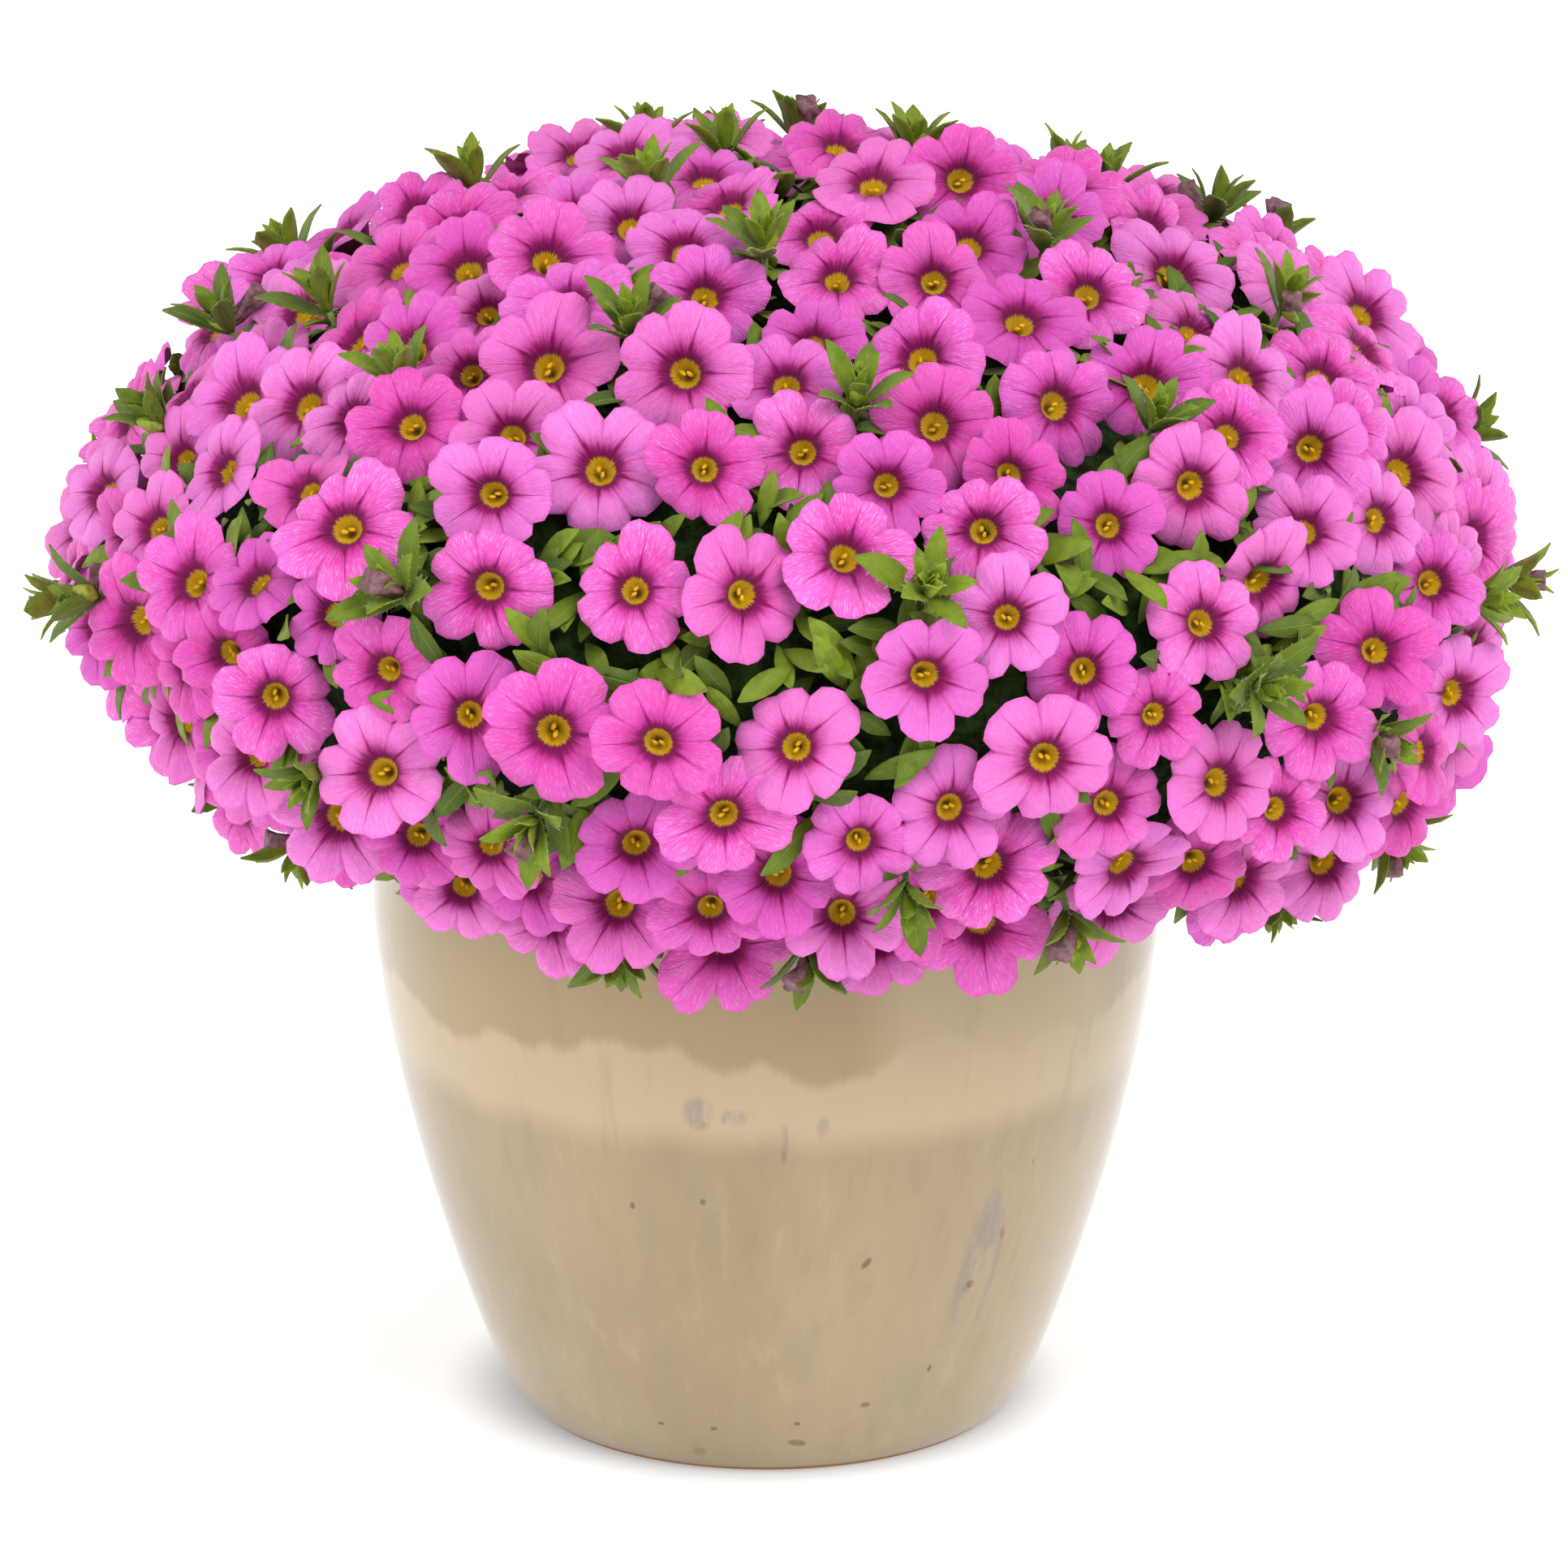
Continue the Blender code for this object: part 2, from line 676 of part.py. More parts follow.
def main():
    clear_scene()
    glaze = make_material("glazed_ceramic", (0.58, 0.47, 0.30), 0.18)
    earth = make_material("soil", (0.035, 0.022, 0.014), 0.95)
    wood = make_material("stem", (0.16, 0.20, 0.07), 0.7)
    leaf = make_material("leaf", (0.10, 0.22, 0.03), 0.6)
    petal = make_material("petal", (0.86, 0.12, 0.55), 0.55)
    make_pot(glaze)
    make_soil(earth)
    make_crown(wood)

    layout = lay_out()
    group = layout[2]
    whole = core_body()
    core_tree = BVHTree.FromBMesh(whole)
    blooms = make_blooms(layout, core_tree)
    bloom_trees = {index: BVHTree.FromBMesh(body) for index, body in blooms.items()}
    stalks = make_stalks(layout, blooms, bloom_trees, core_tree)
    stalk_trees = [BVHTree.FromBMesh(stalk) for stalk in stalks.values()]
    sprays = spray_centres()
    centres = mound_surface(np.array([unit for _, unit in sprays]))
    cells = [core_cell(whole, number, centres) for number in range(len(sprays))]
    cell_trees = [BVHTree.FromBMesh(cell) for cell in cells]
    shoots = make_shoots(layout, core_tree, bloom_trees, stalk_trees, centres, cell_trees)
    for number, (name, _) in enumerate(sprays):
        green = object_from(cells[number], f"{name}_leaves", leaf)
        own = [i for i in shoots if group[i] == number]
        fuse(green, [object_from(shoots[i], "shoot") for i in own])
        members = [i for i in blooms if group[i] == number]
        bodies = [object_from(blooms[i], "bloom") for i in members]
        bodies += [object_from(stalks[p], "stalk") for p in stalks if group[p[0]] == number]
        pink = bodies[0]
        pink.name = f"{name}_blooms"
        pink.data.materials.append(petal)
        fuse(pink, bodies[1:])


if __name__ == "__main__":
    main()
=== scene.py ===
"""A calibrachoa in full bloom over a round glazed pot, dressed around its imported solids."""

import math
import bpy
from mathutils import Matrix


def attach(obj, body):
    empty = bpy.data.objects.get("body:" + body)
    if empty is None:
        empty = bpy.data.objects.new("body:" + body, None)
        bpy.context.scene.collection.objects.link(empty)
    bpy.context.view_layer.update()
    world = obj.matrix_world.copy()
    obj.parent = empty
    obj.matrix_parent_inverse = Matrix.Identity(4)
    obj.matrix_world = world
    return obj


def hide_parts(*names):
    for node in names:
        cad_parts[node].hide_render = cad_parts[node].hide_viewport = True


bl_info = {
    "name": "Calibrachoa in a glazed pot",
    "version": (1, 0, 0),
    "blender": (4, 5, 0),
    "location": "View3D > Sidebar > Flower pot",
    "description": "Builds the blooms, leaves, pot and studio of a potted calibrachoa",
    "category": "Object",
}

from functools import lru_cache

import bpy
import bmesh
import numpy as np
from mathutils import Matrix, Vector

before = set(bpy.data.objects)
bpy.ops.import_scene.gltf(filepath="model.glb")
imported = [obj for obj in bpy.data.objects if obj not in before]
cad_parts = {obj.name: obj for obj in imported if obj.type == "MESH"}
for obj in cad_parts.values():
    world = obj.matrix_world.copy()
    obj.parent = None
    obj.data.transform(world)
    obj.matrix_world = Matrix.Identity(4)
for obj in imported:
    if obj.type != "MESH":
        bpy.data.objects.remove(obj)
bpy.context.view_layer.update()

# Pot, as in the solids.
BELLY_RADIUS = 0.1062
BELLY_HEIGHT = 0.145
RIM_HEIGHT = 0.168
LIP_RADIUS = 0.1030
WAIST = 0.0367
WAIST_POWER = 1.55
FOOT_ROUNDING = 0.0050
FOOT_FALLOFF = 0.0050
WALL = 0.0095
BASE_THICKNESS = 0.012
DRAIN_RADIUS = 0.0055
DRAIN_CIRCLE = 0.030
DRAINS = 3

# Mound, as in the solids.
MOUND_SIZE = np.array([0.1955, 0.1955, 0.1020])
MOUND_CENTRE = np.array([0.0054, 0.0, 0.2375])
SWELLS = (
    ((0.09, -0.15, 1.0), 0.0090, 40.0),
    ((0.85, -0.30, -0.42), 0.0085, 12.0),
    ((1.00, -0.10, 0.12), -0.0095, 8.0),
    ((-0.80, -0.20, 0.50), -0.0095, 9.0),
    ((-0.95, 0.10, -0.10), -0.0020, 8.0),
    ((-0.75, -0.45, -0.48), -0.0110, 12.0),
    ((0.20, 0.90, 0.25), 0.0050, 7.0),
)
LOWEST = -0.66
CORE_FLOOR = RIM_HEIGHT + 0.0009
TIERS = (
    ("top", 66.0, 4, 45.0),
    ("shoulder", 27.0, 7, 10.0),
    ("skirt", -20.0, 8, 0.0),
)

# Blooms and shoots, as in the solids.
BLOOMS = 272
BLOOM_RADIUS = (0.0150, 0.0174)
BLOOM_TILT = math.radians(7.0)
DROOP = 0.25
OUTWARD_LEAN = (0.5, 1.0, 0.22)
LIGHT_LEAN = (0.0, -0.7, 0.22)
LOW_LEAN = 1.2
CHAIN_SPACING = 0.80
LOOSE_MARGIN = 0.0008
SPRAY_MARGIN = 0.0013
SPREAD_OUT = 1.10
SHOOTS = 58
SHOOT_SPACING = 0.040
SHOOT_TO_BLOOM = 0.0035
SEED = 29
RELAX_STEPS = 500

# Marks in the glaze of the pot's front: across, height, half width, half height, slant.
BLUE_MARKS = (
    (0.056, 0.064, 0.005, 0.033, 0.3),
    (0.059, 0.056, 0.0016, 0.02, 0.25),
    (-0.018, 0.112, 0.005, 0.006, 0.0),
    (-0.008, 0.111, 0.006, 0.003, 0.0),
    (0.0044, 0.104, 0.0016, 0.0065, 0.0),
    (0.0145, 0.108, 0.0022, 0.004, 0.0),
    (0.034, 0.129, 0.0012, 0.008, 0.0),
)
CLAY_MARKS = (
    (-0.016, 0.1085, 0.0016, 0.0014, 0.0),
    (0.0044, 0.1, 0.0009, 0.0024, 0.0),
    (0.0344, 0.131, 0.0012, 0.0022, 0.0),
    (0.053, 0.053, 0.0016, 0.002, 0.0),
    (0.062, 0.068, 0.0009, 0.0024, 0.0),
    (-0.018, 0.0065, 0.0028, 0.002, 0.0),
)
PITS = (
    (-0.0166, 0.086, 0.0009, 0.0011, 0.0),
    (-0.035, 0.083, 0.0008, 0.0013, 0.0),
    (0.026, 0.0665, 0.0013, 0.002, 0.6),
    (0.0536, 0.0545, 0.0013, 0.0016, 0.0),
    (0.026, 0.0215, 0.0016, 0.001, 0.0),
    (0.008, 0.0105, 0.0028, 0.0014, -0.5),
    (-0.014, 0.015, 0.0011, 0.0008, 0.0),
    (-0.028, 0.015, 0.0011, 0.0006, 0.0),
    (0.008, 0.017, 0.001, 0.0007, 0.0),
    (0.043, 0.03, 0.0006, 0.0013, 0.3),
    (0.07, 0.088, 0.0005, 0.0014, 0.0),
)

# Blooms, in units of their radius.
LOOK_SEED = 71
PETAL_SIDES = 40
PETAL_RINGS = (0.87, 0.58, 0.33, 0.17)
BACK_RINGS = (0.50,)
BACK_STEP = -0.05
ANTHERS = ((0.05, 0.02), (-0.04, -0.035))
ANTHER_RADIUS = 0.045
ANTHER_HEIGHT = -0.33
ANTHER_STRETCH = (1.5, 0.85, 0.7)
SIZE_SPREAD = (0.92, 1.09)

# Smaller blooms that show in the gaps, under the others.
GAP_TRIALS = 9000
GAP_DEPTH = 0.004
GAP_SPACINGS = (0.0235, 0.0215)
GAP_TO_SHOOT = 0.0125
GAP_LEAN = 0.16
GAP_RADIUS = (0.0130, 0.0160)

# Leaves, in units of their length.
LEAF_STEPS = 6
LEAF_FOLD = 0.30
LEAF_ARCH = 0.16
LEAF_THICKNESS = 0.022
LEAF_CHECKS = (0.25, 0.6, 1.0)
HAIRS_PER_SIDE = 6
HAIR_RADIUS = 0.0032
HAIR_LENGTH = 0.075
HAIR_MIDDLE = 0.034

# Shoots: the outer leaves are long and spread, the inner ones shorter and steeper.
SHOOT_LEAVES = (9, 12)
OUTER_LENGTH, SHORTER_INSIDE = 0.0205, 0.0110
OUTER_LIFT, STEEPER_INSIDE = 26.0, 48.0
LIFT_STEPS = (0.0, 12.0, 24.0, 36.0)
STEEPEST = 84.0
LEAF_TURN = 2.4
BUD_LENGTH = (0.006, 0.010)
SPENT_LENGTH = (0.010, 0.014)
STEM_LENGTH, STEM_RADIUS = 0.017, 0.0011

# Leaves between and under the blooms, and the mass of stems and leaves behind them, painted dark as
# shade.
FILLERS = 115
FILLER_TRIALS = 24000
FILLER_LOWEST = -0.80
FILLER_DEPTH = (0.0090, 0.0145)
FILLER_LIFT = (4.0, 34.0)
FILLER_LENGTH = (0.014, 0.021)
ABOVE_RIM, BESIDE_RIM = 0.004, 0.014
THROAT_ROOM, THROAT_NEAR = 0.0070, 0.022
PETAL_SLAB = (-0.42, 0.16)
PETAL_REACH = 0.96
INNER_DEPTH = 0.0160
INNER_ROUGHNESS = 0.0022

# Pot and studio.
POT_SIDES = 128
FIRST_STEP = 0.0006
DRILL_LENGTH = 0.03
FLOOR_SIZE = 14.0
FOOT_SHADE = (-0.003, 0.006)
FOOT_SHADE_EDGE = (0.060, 0.089)
FAR_FLOOR = (0.35, 0.90)
AIM, LOW_AIM = (0.0, 0.0, 0.2), (0.0, 0.0, 0.1)
CAMERA_PLACE = (0.0, -2.1, 0.7768)
CAMERA_PITCH = 16.079
CAMERA_LENS = 187.08
CAMERA_SHIFT = 0.0109
COLOUR = {"subtype": "COLOR", "min": 0.0, "max": 1.0}


# Where the blooms and the shoots stand: the same rule as in the solids.


def unit(vectors):
    """The vectors, each made one long."""
    return vectors / np.linalg.norm(vectors, axis=1)[:, None]


def distances(first, second):
    """How far each of the first points is from each of the second."""
    return np.linalg.norm(first[:, None] - second[None], axis=2)


def mound_normals(units):
    return unit(units / MOUND_SIZE)


def mound_surface(units, depth=0.0):
    """Points on the mound for unit vectors, a depth below the surface of the rims."""
    swell = np.zeros(len(units))
    for direction, height, tightness in SWELLS:
        towards = np.array(direction) / np.linalg.norm(direction)
        swell += height * np.exp(tightness * (units @ towards - 1.0))
    return MOUND_CENTRE + units * (MOUND_SIZE - depth) + mound_normals(units) * swell[:, None]


def facing(units):
    """Blooms look out, and all but the lowest also lean outwards and to the light in front."""
    normals = mound_normals(units)
    normals[:, 2] = np.where(normals[:, 2] < 0, DROOP * normals[:, 2], normals[:, 2])
    lean = units * np.array(OUTWARD_LEAN) + np.array(LIGHT_LEAN)
    return unit(normals + lean * (1.0 + LOW_LEAN * np.minimum(units[:, 2:], 0.0)))


def keep_on_mound(units):
    """The unit vectors again, none of them lower than the lowest blooms."""
    units = unit(units)
    units[:, 2] = np.maximum(units[:, 2], LOWEST)
    flat = np.linalg.norm(units[:, :2], axis=1)
    wanted = np.sqrt(np.clip(1.0 - units[:, 2] ** 2, 0.0, 1.0))
    units[:, :2] *= (wanted / np.maximum(flat, 1e-9))[:, None]
    return units


def spread(count, rng):
    """An even spiral of unit vectors over the part of the mound that carries blooms."""
    height = 1.0 - (1.0 - LOWEST) * (np.arange(count) + 0.5) / count
    turn = np.arange(count) * math.pi * (3.0 - math.sqrt(5.0))
    flat = np.sqrt(1.0 - height**2)
    units = np.stack([flat * np.cos(turn), flat * np.sin(turn), height], axis=1)
    return keep_on_mound(units + rng.normal(0.0, 0.02, units.shape))


def relax(units, least, pull, steps):
    """Moves the points until each pair keeps its least distance and each chained pair meets."""
    for _ in range(steps):
        points = mound_surface(units)
        apart = points[:, None, :] - points[None, :, :]
        length = np.linalg.norm(apart, axis=2) + 1e-9
        short = np.clip(least - length, 0.0, None)
        np.fill_diagonal(short, 0.0)
        long = np.where(pull > 0.0, length - pull, 0.0)
        move = ((short - long) / length)[:, :, None] * apart
        units = keep_on_mound(units + 0.3 * move.sum(axis=1) / MOUND_SIZE)
    return units


def spray_centres():
    """(name, unit vector) of each spray, tier by tier."""
    sprays = []
    for name, latitude, count, first in TIERS:
        for index in range(count):
            turn = math.radians(first + 360.0 * index / count)
            high = math.radians(latitude)
            flat = math.cos(high)
            middle = (flat * math.cos(turn), flat * math.sin(turn), math.sin(high))
            sprays.append((f"{name}_{index + 1}", np.array(middle)))
    return sprays


def nearest_spray(points):
    """The number of the spray whose middle is nearest to each point."""
    centres = mound_surface(np.array([middle for _, middle in spray_centres()]))
    return distances(points, centres).argmin(axis=1)


def chain(points, members):
    """The shortest tree that links the members, as pairs of indices."""
    linked, pairs = [members[0]], []
    waiting = list(members[1:])
    while waiting:
        apart = distances(points[waiting], points[linked])
        row, column = np.unravel_index(apart.argmin(), apart.shape)
        pairs.append((linked[column], waiting[row]))
        linked.append(waiting.pop(row))
    return pairs


def least_distances(radii, group, is_bloom):
    """The least distance between the middles of each two blooms or shoots."""
    both = is_bloom[:, None] & is_bloom[None, :]
    same = group[:, None] == group[None, :]
    reach = radii[:, None] + radii[None, :]
    least = np.where(same, reach + LOOSE_MARGIN, reach + SPRAY_MARGIN)
    mixed = is_bloom[:, None] ^ is_bloom[None, :]
    least = np.where(mixed, reach + SHOOT_TO_BLOOM, least)
    return np.where(both | mixed, least, SHOOT_SPACING)


def far_apart(points, count):
    """The indices of points spread evenly among the others, each the farthest from those before."""
    chosen = [len(points) // 2]
    apart = np.linalg.norm(points - points[chosen[0]], axis=1)
    while len(chosen) < count:
        chosen.append(int(apart.argmax()))
        apart = np.minimum(apart, np.linalg.norm(points - points[chosen[-1]], axis=1))
    return chosen


@lru_cache(maxsize=1)
def plan():
    """Where every bloom and shoot stands, how it faces, and which spray it belongs to."""
    rng = np.random.default_rng(SEED)
    total = BLOOMS + SHOOTS
    start = spread(total, rng)
    is_bloom = np.ones(total, bool)
    is_bloom[far_apart(mound_surface(start), SHOOTS)] = False
    radii = np.where(is_bloom, rng.uniform(*BLOOM_RADIUS, total), 0.0)
    no_pull = np.zeros((total, total))
    least = least_distances(radii, np.zeros(total), is_bloom)
    units = relax(start, least, no_pull, RELAX_STEPS // 4)
    points = mound_surface(units)
    group = nearest_spray(points)
    pairs = []
    for index in range(len(spray_centres())):
        members = [i for i in np.flatnonzero(group == index) if is_bloom[i]]
        pairs += chain(points, members)
    least = least_distances(radii, group, is_bloom)
    pull = no_pull.copy()
    for a, b in pairs:
        wanted = CHAIN_SPACING * (radii[a] + radii[b])
        pull[a, b] = pull[b, a] = least[a, b] = least[b, a] = wanted
    wide = np.where(pull > 0.0, least, least * SPREAD_OUT)
    units = relax(units, wide, pull, RELAX_STEPS)
    units = relax(units, least, pull, RELAX_STEPS // 2)
    return units, radii, group, is_bloom, bloom_frames(units, is_bloom, rng)


def bloom_frames(units, is_bloom, rng):
    """Each bloom's own frame: its Z looks out of the flower."""
    points, outward = mound_surface(units), facing(units)
    frames = {}
    for index in np.flatnonzero(is_bloom):
        turn = rng.uniform(0.0, math.tau)
        axis = leaning(outward[index], BLOOM_TILT * 0.6, rng)
        frames[index] = Matrix.Translation(points[index]) @ axes_facing(axis, turn)
    return frames


def leaning(axis, amount, rng):
    """An axis that leans a little to a side left to chance."""
    return (Vector(axis) + Vector(rng.normal(0.0, amount, 3))).normalized()


def axes_facing(outward, turn):
    """A frame whose Z looks outward, turned about it."""
    look = Vector(outward).to_track_quat("Z", "Y").to_matrix()
    return (look @ Matrix.Rotation(turn, 3, "Z")).to_4x4()


def random_units(count, lowest, rng):
    """Unit vectors in all directions that point higher than the lowest."""
    units = unit(rng.normal(size=(count, 3)))
    return units[units[:, 2] > lowest]


@lru_cache(maxsize=1)
def gap_blooms():
    """Frames and radii of the blooms that show from under the others, in the gaps between them."""
    units, _, _, is_bloom, _ = plan()
    rng = np.random.default_rng(LOOK_SEED)
    taken = [Vector(p) for p in mound_surface(units[is_bloom])]
    shoots = [Vector(p) for p in mound_surface(units[~is_bloom])]
    added = []
    trial = random_units(GAP_TRIALS, LOWEST, rng)
    places, outward = mound_surface(trial, GAP_DEPTH), facing(trial)
    for least in GAP_SPACINGS:
        for point, axis in zip(places, outward):
            here = Vector(point)
            if min((here - p).length for p in taken) < least:
                continue
            if min((here - p).length for p in shoots) < GAP_TO_SHOOT:
                continue
            taken.append(here)
            lean = leaning(axis, GAP_LEAN, rng)
            place = Matrix.Translation(here) @ axes_facing(lean, rng.uniform(0.0, math.tau))
            added.append((place, rng.uniform(*GAP_RADIUS)))
    return added


# Small helpers


def deselect():
    if bpy.context.mode != "OBJECT":
        bpy.ops.object.mode_set(mode="OBJECT")
    bpy.ops.object.select_all(action="DESELECT")


def edit_all():
    """Opens the piece in edit mode, with all of it selected."""
    bpy.ops.object.mode_set(mode="EDIT")
    bpy.ops.mesh.select_all(action="SELECT")


def close_edit():
    """Turns every face outwards and leaves edit mode."""
    bpy.ops.mesh.select_all(action="SELECT")
    bpy.ops.mesh.normals_make_consistent(inside=False)
    bpy.ops.object.mode_set(mode="OBJECT")


def named(name):
    piece = bpy.context.object
    piece.name = piece.data.name = name
    return piece


def coordinates(piece):
    co = np.empty(len(piece.data.vertices) * 3)
    piece.data.vertices.foreach_get("co", co)
    return co.reshape(-1, 3)


def set_coordinates(piece, co):
    piece.data.vertices.foreach_set("co", np.asarray(co, np.float32).ravel())
    piece.data.update()


def point_values(piece, name, values):
    """Keeps a number for each corner of the mesh under a name that materials read."""
    mesh = piece.data
    layer = mesh.attributes.get(name) or mesh.attributes.new(name, "FLOAT", "POINT")
    layer.data.foreach_set("value", np.broadcast_to(values, len(mesh.vertices)).astype(np.float32))


def flat_uv(piece, name, co):
    """A UV map that looks straight down on the shape, its unit circle filling the square."""
    mesh = piece.data
    layer = mesh.uv_layers.get(name) or mesh.uv_layers.new(name=name)
    corner = np.empty(len(mesh.loops), np.int32)
    mesh.loops.foreach_get("vertex_index", corner)
    layer.uv.foreach_set("vector", (0.5 + 0.5 * co[corner][:, :2]).astype(np.float32).ravel())


def paint(piece, *materials):
    piece.data.materials.clear()
    for material in materials:
        piece.data.materials.append(material)


def finish(name):
    return bpy.data.materials[f"look_{name}"]


def smooth(piece):
    piece.data.shade_smooth()


def copy_of(master, place, shape=None, shade=0.5):
    """A copy with its own mesh, shaped and put in its place."""
    piece = master.copy()
    piece.data = master.data.copy()
    co = coordinates(piece)
    if shape:
        co = shape(co)
    turn = np.array(place)
    set_coordinates(piece, co @ turn[:3, :3].T + turn[:3, 3])
    point_values(piece, "shade", shade)
    bpy.context.scene.collection.objects.link(piece)
    return piece


def join(pieces, name):
    deselect()
    for piece in pieces:
        piece.select_set(True)
    bpy.context.view_layer.objects.active = pieces[0]
    if len(pieces) > 1:
        bpy.ops.object.join()
    piece = named(name)
    deselect()
    return piece


def drop(*masters):
    for master in masters:
        bpy.data.objects.remove(master, do_unlink=True)


def put(piece, slot, *nodes):
    """Fixes a finished piece to the plant, in place of the solids it stands for."""
    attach(piece, "root")
    if nodes:
        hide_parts(*nodes)


def ring(scale, rise=0.0):
    """Extrudes the selected ring and scales it about the axis."""
    bpy.ops.mesh.extrude_edges_move(TRANSFORM_OT_translate={"value": (0.0, 0.0, rise)})
    bpy.ops.transform.resize(value=(scale, scale, 1.0), center_override=(0.0, 0.0, 0.0))


# Shader maths


class Value:
    """A number in a material's node tree, so that node maths is written as an expression."""

    def __init__(self, look, socket):
        self.look, self.socket = look, socket

    def maths(self, operation, *others):
        inputs = dict(enumerate((self, *others)))
        return self.look.value("ShaderNodeMath", {"operation": operation}, inputs)

    def __add__(self, other):
        return self.maths("ADD", other)

    def __sub__(self, other):
        return self.maths("SUBTRACT", other)

    def __mul__(self, other):
        return self.maths("MULTIPLY", other)

    def __truediv__(self, other):
        return self.maths("DIVIDE", other)

    def __rsub__(self, other):
        return self.maths("MULTIPLY", -1.0).maths("ADD", other)

    def __pow__(self, other):
        return self.maths("POWER", other)

    __radd__ = __add__

    def step(self, low, high):
        """0 below low, 1 above high, and a soft step between them."""
        ends = {"Value": self, "From Min": low, "From Max": high, "To Min": 0.0, "To Max": 1.0}
        return self.look.value("ShaderNodeMapRange", {"interpolation_type": "SMOOTHSTEP"}, ends)

    def fade(self, low, high):
        return 1.0 - self.step(low, high)


class Look:
    """A material with one Principled shader and the nodes that feed it."""

    def __init__(self, name, **fixed):
        self.material = bpy.data.materials.new(f"look_{name}")
        self.material.use_nodes = True
        self.tree = self.material.node_tree
        self.shader = self.tree.nodes["Principled BSDF"]
        for socket, value in fixed.items():
            self.shader.inputs[socket.replace("_", " ")].default_value = value

    def node(self, kind, settings=None, sockets=None):
        node = self.tree.nodes.new(kind)
        for name, value in (settings or {}).items():
            setattr(node, name, value)
        for name, value in (sockets or {}).items():
            self.feed(node.inputs[name], value)
        return node

    def feed(self, socket, value):
        if isinstance(value, Value):
            value = value.socket
        if isinstance(value, bpy.types.NodeSocket):
            self.tree.links.new(value, socket)
        elif isinstance(value, tuple) and socket.type == "RGBA":
            socket.default_value = (*value, 1.0)
        else:
            socket.default_value = value

    def value(self, kind, settings=None, sockets=None, output=0):
        return Value(self, self.node(kind, settings, sockets).outputs[output])

    def mix(self, factor, first, second):
        """A colour between two colours."""
        settings = {"data_type": "RGBA", "clamp_factor": True}
        return self.node("ShaderNodeMix", settings, {0: factor, 6: first, 7: second}).outputs[2]

    def tint(self, factor, colour):
        """Lays a colour over the look's colour so far."""
        self.base = self.mix(factor, self.base, colour)

    def noise(self, where, scale, detail=2.0, rough=0.5):
        sockets = {"Vector": where, "Scale": scale, "Detail": detail, "Roughness": rough}
        return self.value("ShaderNodeTexNoise", None, sockets)

    def parts(self, vector):
        node = self.node("ShaderNodeSeparateXYZ", None, {0: vector})
        return [Value(self, socket) for socket in node.outputs]

    def vector(self, x, y, z):
        return self.node("ShaderNodeCombineXYZ", None, {0: x, 1: y, 2: z}).outputs[0]

    def place(self):
        return self.node("ShaderNodeTexCoord").outputs["Object"]

    def uv(self, name):
        return self.node("ShaderNodeUVMap", {"uv_map": name}).outputs[0]

    def kept(self, name):
        return self.value("ShaderNodeAttribute", {"attribute_name": name}, None, "Fac")

    def bump(self, height, distance, strength):
        sockets = {"Height": height, "Distance": distance, "Strength": strength}
        self.feed(self.shader.inputs["Normal"], self.node("ShaderNodeBump", None, sockets).outputs[0])

    def surface(self, colour, roughness):
        """Feeds the shader its colour and roughness, and gives the material."""
        self.feed(self.shader.inputs["Base Color"], colour)
        self.feed(self.shader.inputs["Roughness"], roughness)
        return self.material


# Finishes


def linear(red, green, blue):
    """A colour given as the 0 to 255 values that a screen shows."""
    return tuple(
        c / 12.92 if c <= 0.04045 else ((c + 0.055) / 1.055) ** 2.4
        for c in (red / 255, green / 255, blue / 255)
    )


